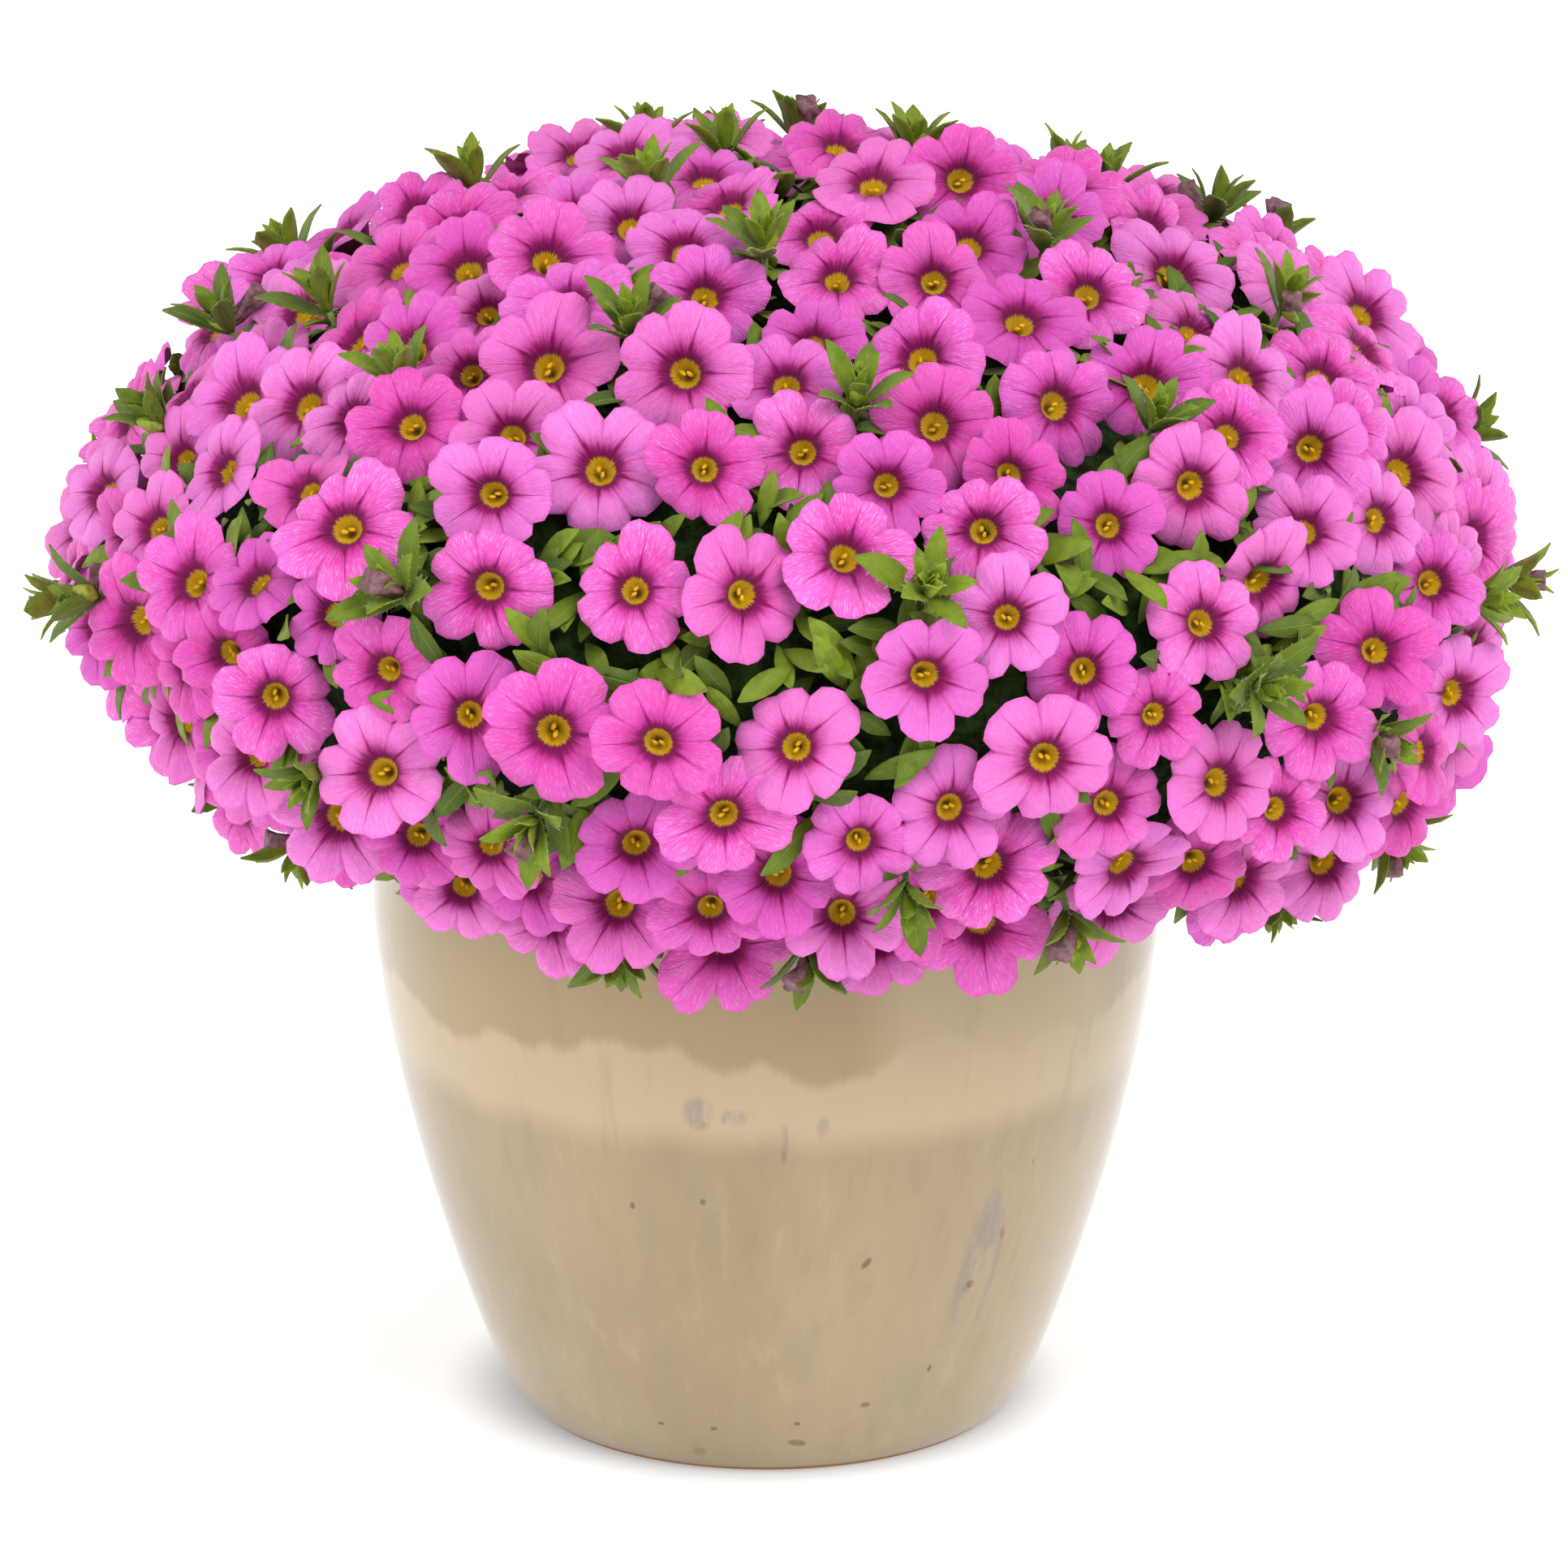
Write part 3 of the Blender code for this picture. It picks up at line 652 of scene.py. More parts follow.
def petal_look(petal, ring_colour, throat_colour):
    """Silky pink petals: dark mid-veins, a feathery dark ring and a golden throat, with painted sheen
    on fine streaks and painted shade in the creases, at the rim and deep in the throat.
    """
    look = Look("petal", Sheen_Weight=0.05, Sheen_Roughness=0.35, Specular_IOR_Level=0.35)
    x, y, _ = look.parts(look.uv("petal"))
    x, y = (x - 0.5) * 2.0, (y - 0.5) * 2.0
    reach = (x * x + y * y) ** 0.5
    half = y.maths("ARCTAN2", x) * 2.5
    vein = half.maths("SINE").maths("ABSOLUTE")
    crease_shade = half.maths("COSINE").maths("ABSOLUTE")
    shade = look.kept("shade")
    inside = reach + 0.02
    around = look.vector(x / inside * 5.0, y / inside * 5.0, reach * 0.9 + shade * 37.0)
    streak = look.noise(around, 2.2, 4.0, 0.65)
    soft = look.noise(look.vector(x * 1.3, y * 1.3, shade * 53.0), 1.6, 2.0)
    look.base = look.mix(soft.step(0.3, 0.7), linear(248, 66, 188), petal)
    look.tint(reach.step(0.45, 0.98) * 0.5, linear(255, 130, 228))
    look.tint(streak.step(0.5, 0.75) * 0.35, linear(232, 50, 168))
    fine_ridges_and_sheen = look.noise(around, 9.0, 3.0, 0.7)
    # Painted sheen: the fine streaks are lightened like silk catching the light; the same noise gives
    # the fine ridges in the bump.
    look.tint(fine_ridges_and_sheen.step(0.50, 0.66) * 0.62, linear(255, 194, 244))
    look.tint(shade.step(0.0, 0.9) * 0.55, linear(222, 50, 166))
    look.tint((shade * 23.0).maths("SINE").step(0.2, 1.0) * 0.38, linear(228, 112, 224))
    look.tint((shade * 41.0).maths("SINE").step(0.1, 0.9) * 0.48, linear(255, 152, 232))
    # Painted shade in the creases between the lobes.
    look.tint(crease_shade.fade(0.0, 0.14) * 0.40, linear(206, 36, 148))
    # Painted shade: a thin darker line along the petals' rim, where overlapping blooms part.
    look.tint(reach.step(0.92, 1.0) * 0.32, linear(222, 62, 170))
    feather = reach - (streak - 0.5) * 0.26 - vein.fade(0.0, 0.34) * 0.12
    look.tint(feather.fade(0.24, 0.58) * 0.90, ring_colour)
    line = (reach * vein).fade(0.006, 0.028) * reach.fade(0.55, 1.05) * 0.8
    look.tint(line, linear(168, 12, 118))
    look.tint(feather.fade(0.24, 0.41), linear(142, 0, 92))
    throat = (reach + (streak - 0.5) * 0.12).fade(0.185, 0.225)
    gold = look.mix(streak.step(0.45, 0.7) * 0.5, throat_colour, linear(222, 158, 2))
    look.tint(throat, gold)
    # Painted shade deep in the throat: darker ochre towards its middle.
    look.tint(reach.fade(0.03, 0.12), linear(150, 104, 4))
    look.tint(look.kept("back") * 0.55, linear(226, 120, 196))
    look.bump(streak * 0.8 + fine_ridges_and_sheen * 0.6 - line * 0.35, 0.0013, 0.9)
    return look.surface(look.base, 0.40 + streak * 0.18)


def leaf_look(young, old):
    """Soft leaves: a paler midrib, faint side veins and mottled greens."""
    look = Look("leaf", Sheen_Weight=0.04, Specular_IOR_Level=0.30)
    rib = linear(136, 154, 62)
    across, along, _ = look.parts(look.uv("leaf"))
    off = (across - 0.5).maths("ABSOLUTE")
    mottle = look.noise(look.place(), 320.0, 3.0, 0.6)
    look.base = look.mix(look.kept("shade"), old, young)
    look.tint(mottle.step(0.40, 0.72) * 0.35, linear(50.4, 67.68, 12.96))
    ribs = (along * 26.0 + off * 30.0).maths("SINE").step(0.72, 1.0) * off.step(0.02, 0.1)
    look.tint(ribs * 0.22, rib)
    look.tint(off.fade(0.012, 0.05) * 0.55, rib)
    look.bump(mottle * 0.4 - off.fade(0.0, 0.06) * 0.8 - ribs * 0.3, 0.0005, 0.6)
    return look.surface(look.base, 0.46 + mottle * 0.18)


def plain_look(name, light, dark, scale, rough, relief=0.0004, **fixed):
    """A mottled finish between two colours."""
    look = Look(name, **fixed)
    mottle = look.noise(look.place(), scale, 4.0, 0.6)
    colour = look.mix(mottle.step(0.32, 0.68), linear(*dark), linear(*light))
    look.bump(mottle, relief, 0.7)
    return look.surface(colour, rough + mottle * 0.12)


def glaze_look(glaze):
    """Thick cream glaze: runs, pits, dim blue-grey marks, bare clay at the foot's edge, a painted
    reflection band and painted shade near the top.
    """
    look = Look("glaze", Coat_Roughness=0.03, Coat_IOR=1.32, Specular_IOR_Level=0.2)
    where = look.place()
    x, y, z = look.parts(where)
    runs = look.noise(look.vector(x, y, z * 0.07), 150.0, 5.0, 0.65)
    cloud = look.noise(look.vector(x, y, z * 0.5), 16.0, 3.0, 0.55)
    look.base = look.mix(cloud.step(0.3, 0.7), linear(158, 139, 106), glaze)
    look.tint(runs.step(0.48, 0.75) * 0.30, linear(144, 124, 90))
    look.tint(runs.fade(0.28, 0.45) * 0.25, linear(190, 171, 138))
    wave = look.noise(look.vector(x, y, z * 0.3), 34.0, 2.0, 0.5)
    # Painted reflection: a lighter band over the upper part of the pot, with an uneven lower edge.
    reflection_band = (z + (cloud - 0.5) * 0.016).step(0.098, 0.110)
    look.tint(reflection_band * 0.75, linear(198, 176, 142))
    shadow = (z + (wave - 0.5) * 0.034 + (runs - 0.5) * 0.006).step(0.1225, 0.1275)
    lit = x.step(0.020, 0.040) * x.fade(0.084, 0.094)
    look.tint(shadow * (0.60 - lit * 0.48), linear(152, 128, 84))
    green = look.noise(look.vector(x, y, z * 0.10), 90.0, 3.0, 0.6)
    look.tint(green.step(0.55, 0.70) * 0.22, linear(134, 136, 112))
    blue = spots(x, y, z, BLUE_MARKS) * runs.step(0.40, 0.58)
    look.tint(blue * 0.55, linear(134, 124, 126))
    clay = spots(x, y, z, CLAY_MARKS) * runs.step(0.36, 0.60)
    look.tint(clay * 0.60, linear(150, 98, 70))
    stretched = look.vector(x, y, z * 0.6)
    pits = look.value("ShaderNodeTexVoronoi", None, {"Vector": stretched, "Scale": 74.0})
    chosen = look.noise(where, 41.0, 1.0).step(0.52, 0.58) * y.step(0.0, 0.02)
    pit = (pits + (runs - 0.5) * 0.22).fade(0.04, 0.10) * chosen
    pit = pit + spots(x, y, z, PITS) * runs.step(0.20, 0.50)
    look.tint(pit * 0.75, linear(108, 80, 54))
    bare = (z - (cloud - 0.5) * 0.0012).fade(0.0009, 0.0016)
    look.tint(bare, linear(176, 122, 76))
    look.feed(look.shader.inputs["Coat Weight"], 1.0 - bare)
    look.bump(runs * 0.25 + cloud * 0.8 - pit * 0.6, 0.0012, 0.5)
    return look.surface(look.base, 0.32 + bare * 0.5 + pit * 0.2)


def spots(x, y, z, places):
    """Where the front of the pot has a mark: 1 in its middle, 0 outside all of them."""
    total = 0.0
    for across, high, wide, tall, slant in places:
        aside = (x - across - (z - high) * slant) / wide
        along = (z - high) / tall
        total = total + (aside * aside + along * along).fade(0.1, 1.0)
    return total * y.fade(-0.02, 0.0)


def make_finishes(settings):
    """Every finish that the pieces below look up by name."""
    petal_look(tuple(settings.petal), tuple(settings.ring), tuple(settings.throat))
    leaf_look(tuple(settings.young_leaf), tuple(settings.old_leaf))
    plain_look("hair", (226, 230, 204), (190, 200, 160), 300.0, 0.6)
    plain_look("stem", (112, 132, 48), (70, 90, 30), 260.0, 0.55)
    plain_look("bud", (160, 172, 48), (104, 122, 30), 420.0, 0.5)
    plain_look("spent", (142, 96, 108), (90, 58, 56), 380.0, 0.6, 0.0008)
    plain_look("anther", (236, 192, 40), (190, 138, 20), 500.0, 0.8, Specular_IOR_Level=0.1)
    # Painted shade: the inner mass of stems and leaves is much darker than the leaves, for the shade
    # deep in the mound.
    plain_look("shaded_inner_green", (40, 62, 20), (12, 22, 7), 260.0, 0.8, 0.003, Specular_IOR_Level=0.1)
    plain_look("soil", (70, 52, 38), (26, 18, 13), 210.0, 0.85, 0.003)
    glaze_look(tuple(settings.glaze))


# The bloom


def limb_height(reach, angle):
    """How high the petals' face lies, in units of the bloom's radius."""
    limb = -0.20 * np.clip(1.0 - reach, 0.0, 1.0) ** 1.3
    tube = -0.38 * np.clip((0.27 - reach) / 0.27, 0.0, 1.0) ** 0.7
    rim = -0.11 * np.clip((reach - 0.66) / 0.34, 0.0, 1.0) ** 2
    vein = np.exp(-((np.sin(2.5 * angle) / 0.30) ** 2))
    crease_shade = np.exp(-((np.cos(2.5 * angle) / 0.38) ** 2))
    relief = np.clip(reach - 0.2, 0.0, None) * (-0.095 * vein - 0.190 * crease_shade)
    return limb + tube + rim + relief


def lobed(reach, angle):
    """The petals' outline: five lobes, each with a shallow notch at its mid-vein."""
    lobe = 0.78 + 0.22 * np.abs(np.cos(2.5 * angle)) ** 0.34
    vein = 0.045 * np.exp(-((np.sin(2.5 * angle) / 0.20) ** 2))
    blend = np.clip((reach - 0.35) / 0.65, 0.0, 1.0) ** 1.3
    return 1.0 - (1.0 - lobe + vein) * blend


def bloom_master():
    """One bloom of unit radius: a ring drawn in to the throat, and behind it the tube."""
    deselect()
    bpy.ops.mesh.primitive_circle_add(
        vertices=PETAL_SIDES, radius=1.0, fill_type="NOTHING", rotation=(0.0, 0.0, math.pi / 2)
    )
    bpy.ops.object.transform_apply(rotation=True)
    piece = named("bloom_master")
    edit_all()
    draw_in(PETAL_RINGS, 0.0)
    select_rim()
    bpy.ops.mesh.mark_sharp()
    draw_in(BACK_RINGS, BACK_STEP)
    close_edit()
    shape_bloom(piece)
    smooth(piece)
    return piece


def draw_in(rings, rise):
    """Extrudes the selected rim inwards ring by ring and closes it at the axis."""
    before = 1.0
    for reach in rings:
        ring(reach / before, rise)
        before = reach
    ring(0.5, rise)
    bpy.ops.mesh.merge(type="CENTER")


def select_rim():
    """Selects the open edge of the mesh in edit mode."""
    bpy.ops.mesh.select_all(action="DESELECT")
    bpy.ops.mesh.select_mode(type="EDGE")
    edit = bmesh.from_edit_mesh(bpy.context.object.data)
    for edge in edit.edges:
        if edge.is_boundary:
            edge.select_set(True)
    bmesh.update_edit_mesh(bpy.context.object.data)


def shape_bloom(piece):
    """Gives the flat rings their throat, lobes and back."""
    co = coordinates(piece)
    flat_uv(piece, "petal", co)
    reach = np.hypot(co[:, 0], co[:, 1])
    angle = np.arctan2(co[:, 1], co[:, 0])
    back = co[:, 2] < -0.01
    behind = np.interp(reach, (0.0, 0.50, 1.0), (-0.25, -0.07, 0.0))
    co[:, 2] = limb_height(reach, angle) + np.where(back, behind, 0.0)
    co[:, :2] *= lobed(reach, angle)[:, None]
    set_coordinates(piece, co)
    point_values(piece, "back", back.astype(float))


def add_stamens(bloom):
    """Two pale yellow anthers just inside the throat."""
    parts = []
    for x, y in ANTHERS:
        deselect()
        bpy.ops.mesh.primitive_ico_sphere_add(
            subdivisions=1, radius=ANTHER_RADIUS, location=(x, y, ANTHER_HEIGHT), scale=ANTHER_STRETCH
        )
        bpy.ops.object.transform_apply()
        anther = named("anther")
        point_values(anther, "back", 0.0)
        smooth(anther)
        paint(anther, finish("anther"))
        parts.append(anther)
    return join([bloom] + parts, "bloom_master")


def bloom_shape(rng, radius):
    """A bloom's own slight cup, fold, nod, ruffle, squeeze and uneven lobes."""
    cup, fold, fold_at = rng.uniform(0.4, 1.9), rng.normal(0.0, 0.07), rng.uniform(0.0, math.tau)
    nod, nod_at = rng.normal(0.0, 0.08), rng.uniform(0.0, math.tau)
    ruffle, ruffle_at = rng.uniform(0.0, 0.035), rng.uniform(0.0, math.tau)
    lobes = rng.normal(0.0, 0.07, 5)
    squeeze = rng.normal(0.0, 0.03)

    def shape(co):
        co = co.copy()
        reach = np.hypot(co[:, 0], co[:, 1])
        angle = np.arctan2(co[:, 1], co[:, 0])
        open_part = np.clip((reach - 0.2) / 0.8, 0.0, 1.0)
        lobe = lobes[np.round(angle / (math.tau / 5)).astype(int) % 5]
        lobe = lobe * np.abs(np.cos(2.5 * angle))
        limb = np.where(reach > 0.3, co[:, 2] * (cup - 1.0), 0.0)
        co[:, 2] += limb * open_part
        co[:, 2] += open_part**2 * fold * np.cos(2.0 * (angle - fold_at))
        co[:, 2] += open_part**2 * nod * np.cos(angle - nod_at)
        co[:, 2] += open_part**3 * ruffle * np.sin(7.0 * angle + ruffle_at)
        co[:, 2] += open_part**2 * lobe * 0.8
        co[:, :2] *= (1.0 + lobe * open_part)[:, None]
        co[:, 0] *= 1.0 + squeeze
        co[:, 1] *= 1.0 - squeeze
        return co * radius

    return shape


# Leaves, shoots, buds and spent blooms


def leaf_width(along):
    """Half the width of a leaf of unit length: narrow at its base, widest past the middle."""
    return 0.150 * np.sin(math.pi * np.clip(along, 0.0, 1.0) ** 1.15) ** 0.75 + 0.012


def leaf_rise(aside, along):
    """How high the face of a leaf of unit length lies beside its midrib and along it."""
    return LEAF_FOLD * np.abs(aside) + LEAF_ARCH * np.sin(2.4 * along) * along


def leaf_master(name, hairy):
    """One leaf of unit length from its base at the origin, along +Y."""
    deselect()
    bpy.ops.mesh.primitive_grid_add(x_subdivisions=2, y_subdivisions=LEAF_STEPS, size=1.0)
    leaf = named(name)
    leaf.data.uv_layers[0].name = "leaf"
    co = coordinates(leaf)
    along = co[:, 1] + 0.5
    side = co[:, 0] * 2.0
    width = leaf_width(along)
    co[:, 0] = side * width
    co[:, 1] = along
    co[:, 2] = leaf_rise(co[:, 0], along)
    set_coordinates(leaf, co)
    thick = leaf.modifiers.new("thickness", "SOLIDIFY")
    thick.thickness = LEAF_THICKNESS
    thick.offset = 0.0
    bpy.ops.object.modifier_apply(modifier=thick.name)
    smooth(leaf)
    paint(leaf, finish("leaf"))
    if hairy:
        leaf = join([leaf] + leaf_hairs(), name)
    return leaf


def leaf_hairs():
    """Fine pale hairs along both edges of a leaf, as thin spikes."""
    hairs = []
    for side in (-1, 1):
        for step in range(HAIRS_PER_SIDE):
            along = 0.14 + 0.8 * step / HAIRS_PER_SIDE
            width = leaf_width(along)
            root = Vector((side * width, along, leaf_rise(width, along)))
            deselect()
            bpy.ops.mesh.primitive_cone_add(
                vertices=3, radius1=HAIR_RADIUS, radius2=0.0, depth=HAIR_LENGTH, end_fill_type="NOTHING"
            )
            hair = named("hair")
            tilt = axes_facing((side, 0.55, 0.25 - 0.5 * (step % 2)), 0.0)
            middle = Matrix.Translation((0.0, 0.0, HAIR_MIDDLE))
            hair.data.transform(Matrix.Translation(root) @ tilt @ middle)
            paint(hair, finish("hair"))
            hairs.append(hair)
    return hairs


def bud_master():
    """A closed bud in its green calyx, one unit long."""
    deselect()
    bpy.ops.mesh.primitive_uv_sphere_add(segments=8, ring_count=6, radius=0.5, location=(0, 0, 0.5))
    bpy.ops.object.transform_apply(location=True)
    bud = named("bud_master")
    co = coordinates(bud)
    slim = 0.34 * (1.0 - 0.45 * np.clip(co[:, 2], 0.0, 1.0))
    ribs = 1.0 + 0.16 * np.cos(5.0 * np.arctan2(co[:, 1], co[:, 0]))
    co[:, :2] *= (2.0 * slim * ribs)[:, None]
    set_coordinates(bud, co)
    smooth(bud)
    paint(bud, finish("bud"))
    return bud


def spent_master():
    """A withered bloom, rolled up and twisted, one unit long."""
    deselect()
    bpy.ops.mesh.primitive_cone_add(
        vertices=10, radius1=0.10, radius2=0.24, depth=1.0, location=(0, 0, 0.5)
    )
    bpy.ops.object.transform_apply(location=True)
    spent = named("spent_master")
    edit_all()
    bpy.ops.mesh.subdivide(number_cuts=3)
    bpy.ops.object.mode_set(mode="OBJECT")
    co = coordinates(spent)
    angle = np.arctan2(co[:, 1], co[:, 0])
    crumple = 1.0 + 0.22 * np.sin(4.0 * angle + 5.0 * co[:, 2]) + 0.12 * np.sin(9.0 * co[:, 2])
    co[:, :2] *= crumple[:, None]
    co[:, 0] += 0.12 * np.sin(co[:, 2] * 3.0)
    set_coordinates(spent, co)
    smooth(spent)
    paint(spent, finish("spent"))
    return spent


def stem(start, end):
    """A slim stem between two points, a little thinner at its end."""
    along = end - start
    deselect()
    bpy.ops.mesh.primitive_cone_add(
        vertices=6, radius1=STEM_RADIUS, radius2=STEM_RADIUS * 0.8, depth=along.length
    )
    piece = named("stem")
    piece.data.transform(Matrix.Translation((start + end) / 2) @ axes_facing(along, 0.0))
    point_values(piece, "shade", 0.5)
    smooth(piece)
    paint(piece, finish("stem"))
    return piece


def leaf_place(base, outward, turn, lift, length):
    """A leaf's frame: it leaves its stem at an angle above the plane that the stem crosses."""
    frame_out = axes_facing(outward, turn)
    tip_up = Matrix.Rotation(lift, 4, "X")
    return Matrix.Translation(base) @ frame_out @ tip_up @ Matrix.Scale(length, 4)


def rosette(leaf, bud, here, axis, rng, young):
    """The leaves of one shoot in a spiral, and often a bud."""
    count = int(rng.integers(*SHOOT_LEAVES))
    parts = []
    first = rng.uniform(0.0, math.tau)
    for index in range(count):
        inward = index / (count - 1)
        length = (OUTER_LENGTH - SHORTER_INSIDE * inward) * rng.uniform(0.85, 1.12)
        lift = OUTER_LIFT + STEEPER_INSIDE * inward + rng.normal(0.0, 6.0)
        base = here + axis * (0.0040 * inward - 0.0020)
        place = raised_leaf(base, axis, first + index * LEAF_TURN, lift, length)
        parts.append(copy_of(leaf, place, None, float(np.clip(young + 0.5 * inward, 0, 1))))
    if rng.uniform() < 0.75:
        lean = leaning(axis, 0.35, rng)
        parts.append(copy_of(bud, stalk_place(here, lean, rng.uniform(*BUD_LENGTH))))
    return parts


def raised_leaf(base, axis, turn, lift, length):
    """A leaf's frame, lifted until the leaf passes over the petals beside it."""
    for more in LIFT_STEPS:
        place = leaf_place(base, axis, turn, math.radians(min(lift + more, STEEPEST)), length)
        if not pierces_petals(place):
            break
    return place


def stalk_place(start, lean, length):
    """The frame of a bud or a spent bloom of some length."""
    return Matrix.Translation(start) @ axes_facing(lean, 0.0) @ Matrix.Scale(length, 4)


def spent_by(spent, here, axis, rng):
    """A spent bloom that hangs beside a shoot."""
    lean = leaning(axis * 0.6, 0.6, rng)
    return copy_of(spent, stalk_place(here + axis * 0.001, lean, rng.uniform(*SPENT_LENGTH)))


# Leaves between the blooms


def filler_leaves(number, leaf, rng):
    """Leaves that fill the dark gaps between and under the blooms of one spray."""
    parts = []
    trial = random_units(FILLER_TRIALS, FILLER_LOWEST, rng)
    surface, normals = mound_surface(trial), mound_normals(trial)
    own = nearest_spray(surface) == number
    for point, normal in zip(surface[own], normals[own]):
        point = point - normal * rng.uniform(*FILLER_DEPTH)
        beside = math.hypot(point[0], point[1]) < BELLY_RADIUS + BESIDE_RIM
        if beside and point[2] < RIM_HEIGHT + ABOVE_RIM:
            continue
        lift, length = math.radians(rng.uniform(*FILLER_LIFT)), rng.uniform(*FILLER_LENGTH)
        place = leaf_place(point, normal, rng.uniform(0.0, math.tau), lift, length)
        if clear_of_throats(place, normal) and not pierces_petals(place):
            parts.append(copy_of(leaf, place, None, rng.uniform(0.0, 0.7)))
        if len(parts) == FILLERS:
            break
    return parts


def midrib(place):
    """Points along the middle of a leaf."""
    return np.array([(place @ Vector((0.0, at, leaf_rise(0.0, at))))[:] for at in LEAF_CHECKS])


def clear_of_throats(place, normal):
    """Whether a leaf stays beside the throats of the blooms above it."""
    for point in midrib(place):
        away = throats() - point
        aside = away - np.outer(away @ normal, normal)
        near = np.linalg.norm(away, axis=1) < THROAT_NEAR
        if (near & (np.linalg.norm(aside, axis=1) < THROAT_ROOM)).any():
            return False
    return True


def pierces_petals(place):
    """Whether a leaf would run through the petals of a bloom."""
    into, radii = petal_spaces()
    points = midrib(place)
    inside = np.einsum("nij,pj->npi", into[:, :3, :3], points) + into[:, None, :3, 3]
    low, high = (reach * radii[:, None] for reach in PETAL_SLAB)
    within = np.hypot(inside[:, :, 0], inside[:, :, 1]) < PETAL_REACH * radii[:, None]
    return bool((within & (inside[:, :, 2] > low) & (inside[:, :, 2] < high)).any())


@lru_cache(maxsize=1)
def petal_spaces():
    """For every bloom, the matrix into its own frame, and its radius."""
    _, radii, _, _, frames = plan()
    blooms = [(place, radii[index]) for index, place in frames.items()] + gap_blooms()
    into = np.array([np.array(place.inverted()) for place, _ in blooms])
    return into, np.array([radius for _, radius in blooms])


@lru_cache(maxsize=1)
def throats():
    """The middle of every bloom."""
    places = list(plan()[4].values()) + [place for place, _ in gap_blooms()]
    return np.array([place.translation[:] for place in places])


# Properties


class PlantSettings(bpy.types.PropertyGroup):
    """What a user would change about the plant."""

    extra_lift: bpy.props.FloatProperty(
        name="Lift", description="How far blooms stand in and out of the mound",
        default=0.0026, min=0.0, max=0.005, unit="LENGTH",
    )
    extra_tilt: bpy.props.FloatProperty(
        name="Tilt", description="How unevenly blooms face",
        default=0.20, min=0.0, max=0.4, unit="ROTATION",
    )
    petal: bpy.props.FloatVectorProperty(
        name="Petals", description="Colour of the petals", default=linear(255, 98, 214), **COLOUR
    )
    ring: bpy.props.FloatVectorProperty(
        name="Ring", description="Colour round the throat", default=linear(204, 2, 142), **COLOUR
    )
    throat: bpy.props.FloatVectorProperty(
        name="Throat", description="Colour of the throat", default=linear(255, 204, 6), **COLOUR
    )
    young_leaf: bpy.props.FloatVectorProperty(
        name="Young leaf", description="Colour of new leaves", default=linear(142, 164, 30), **COLOUR
    )
    old_leaf: bpy.props.FloatVectorProperty(
        name="Old leaf", description="Colour of old leaves", default=linear(70, 94, 18), **COLOUR
    )
    glaze: bpy.props.FloatVectorProperty(
        name="Glaze", description="Colour of the glaze", default=linear(172, 152, 119), **COLOUR
    )


class StudioSettings(bpy.types.PropertyGroup):
    """What a user would change about the light and the view."""

    key_power: bpy.props.FloatProperty(
        name="Key light", description="Power of the large soft light, in watts",
        default=39.0, min=0.0, max=500.0,
    )
    fill_power: bpy.props.FloatProperty(
        name="Fill light", description="Power of the soft light on the other side, in watts",
        default=15.5, min=0.0, max=500.0,
    )
    edge_power: bpy.props.FloatProperty(
        name="Edge lights", description="Power of each tall panel behind the plant, in watts",
        default=5.0, min=0.0, max=500.0,
    )
    glow: bpy.props.FloatProperty(
        name="Floor glow", description="How much the floor shines by itself, to look pure white",
        default=0.62, min=0.0, max=2.0,
    )
    world: bpy.props.FloatProperty(
        name="Surround", description="Brightness of the white surround", default=0.54, min=0.0, max=3.0,
    )
    backdrop: bpy.props.FloatVectorProperty(
        name="Floor", description="Colour of the floor", default=(0.55, 0.55, 0.55), **COLOUR
    )


# Operators


class FLOWERPOT_OT_finishes(bpy.types.Operator):
    """Makes the finishes of the petals, leaves, glaze and soil"""

    bl_idname = "flowerpot.finishes"
    bl_label = "Make finishes"

    def execute(self, context):
        make_finishes(context.scene.flowerpot_plant)
        return {"FINISHED"}


def wall_radius(height):
    """Outer radius of the pot at a height."""
    if height > BELLY_HEIGHT:
        part = (height - BELLY_HEIGHT) / (RIM_HEIGHT - BELLY_HEIGHT)
        return BELLY_RADIUS - (BELLY_RADIUS - LIP_RADIUS) * part**2
    below = (BELLY_HEIGHT - height) / BELLY_HEIGHT
    rounding = FOOT_ROUNDING * math.exp(-height / FOOT_FALLOFF)
    return BELLY_RADIUS - WAIST * below**WAIST_POWER - rounding


def pot_outline():
    """(radius, height) from the foot's edge up the outside, over the lip and down the inside."""
    lip_centre = RIM_HEIGHT - WALL / 2
    low = [(wall_radius(h), h) for h in (0.0004, 0.0012, 0.0024, 0.0042, 0.0068, 0.0100, 0.014)]
    high = [(wall_radius(h), h) for h in np.linspace(0.019, lip_centre, 26)]
    middle = wall_radius(lip_centre) - WALL / 2
    lip = [
        (middle + WALL / 2 * math.cos(a), lip_centre + WALL / 2 * math.sin(a))
        for a in np.linspace(0.0, math.pi, 10)[1:]
    ]
    inside = [(wall_radius(h) - WALL, h) for h in np.linspace(lip_centre, BASE_THICKNESS, 12)[1:]]
    return low + high + lip + inside


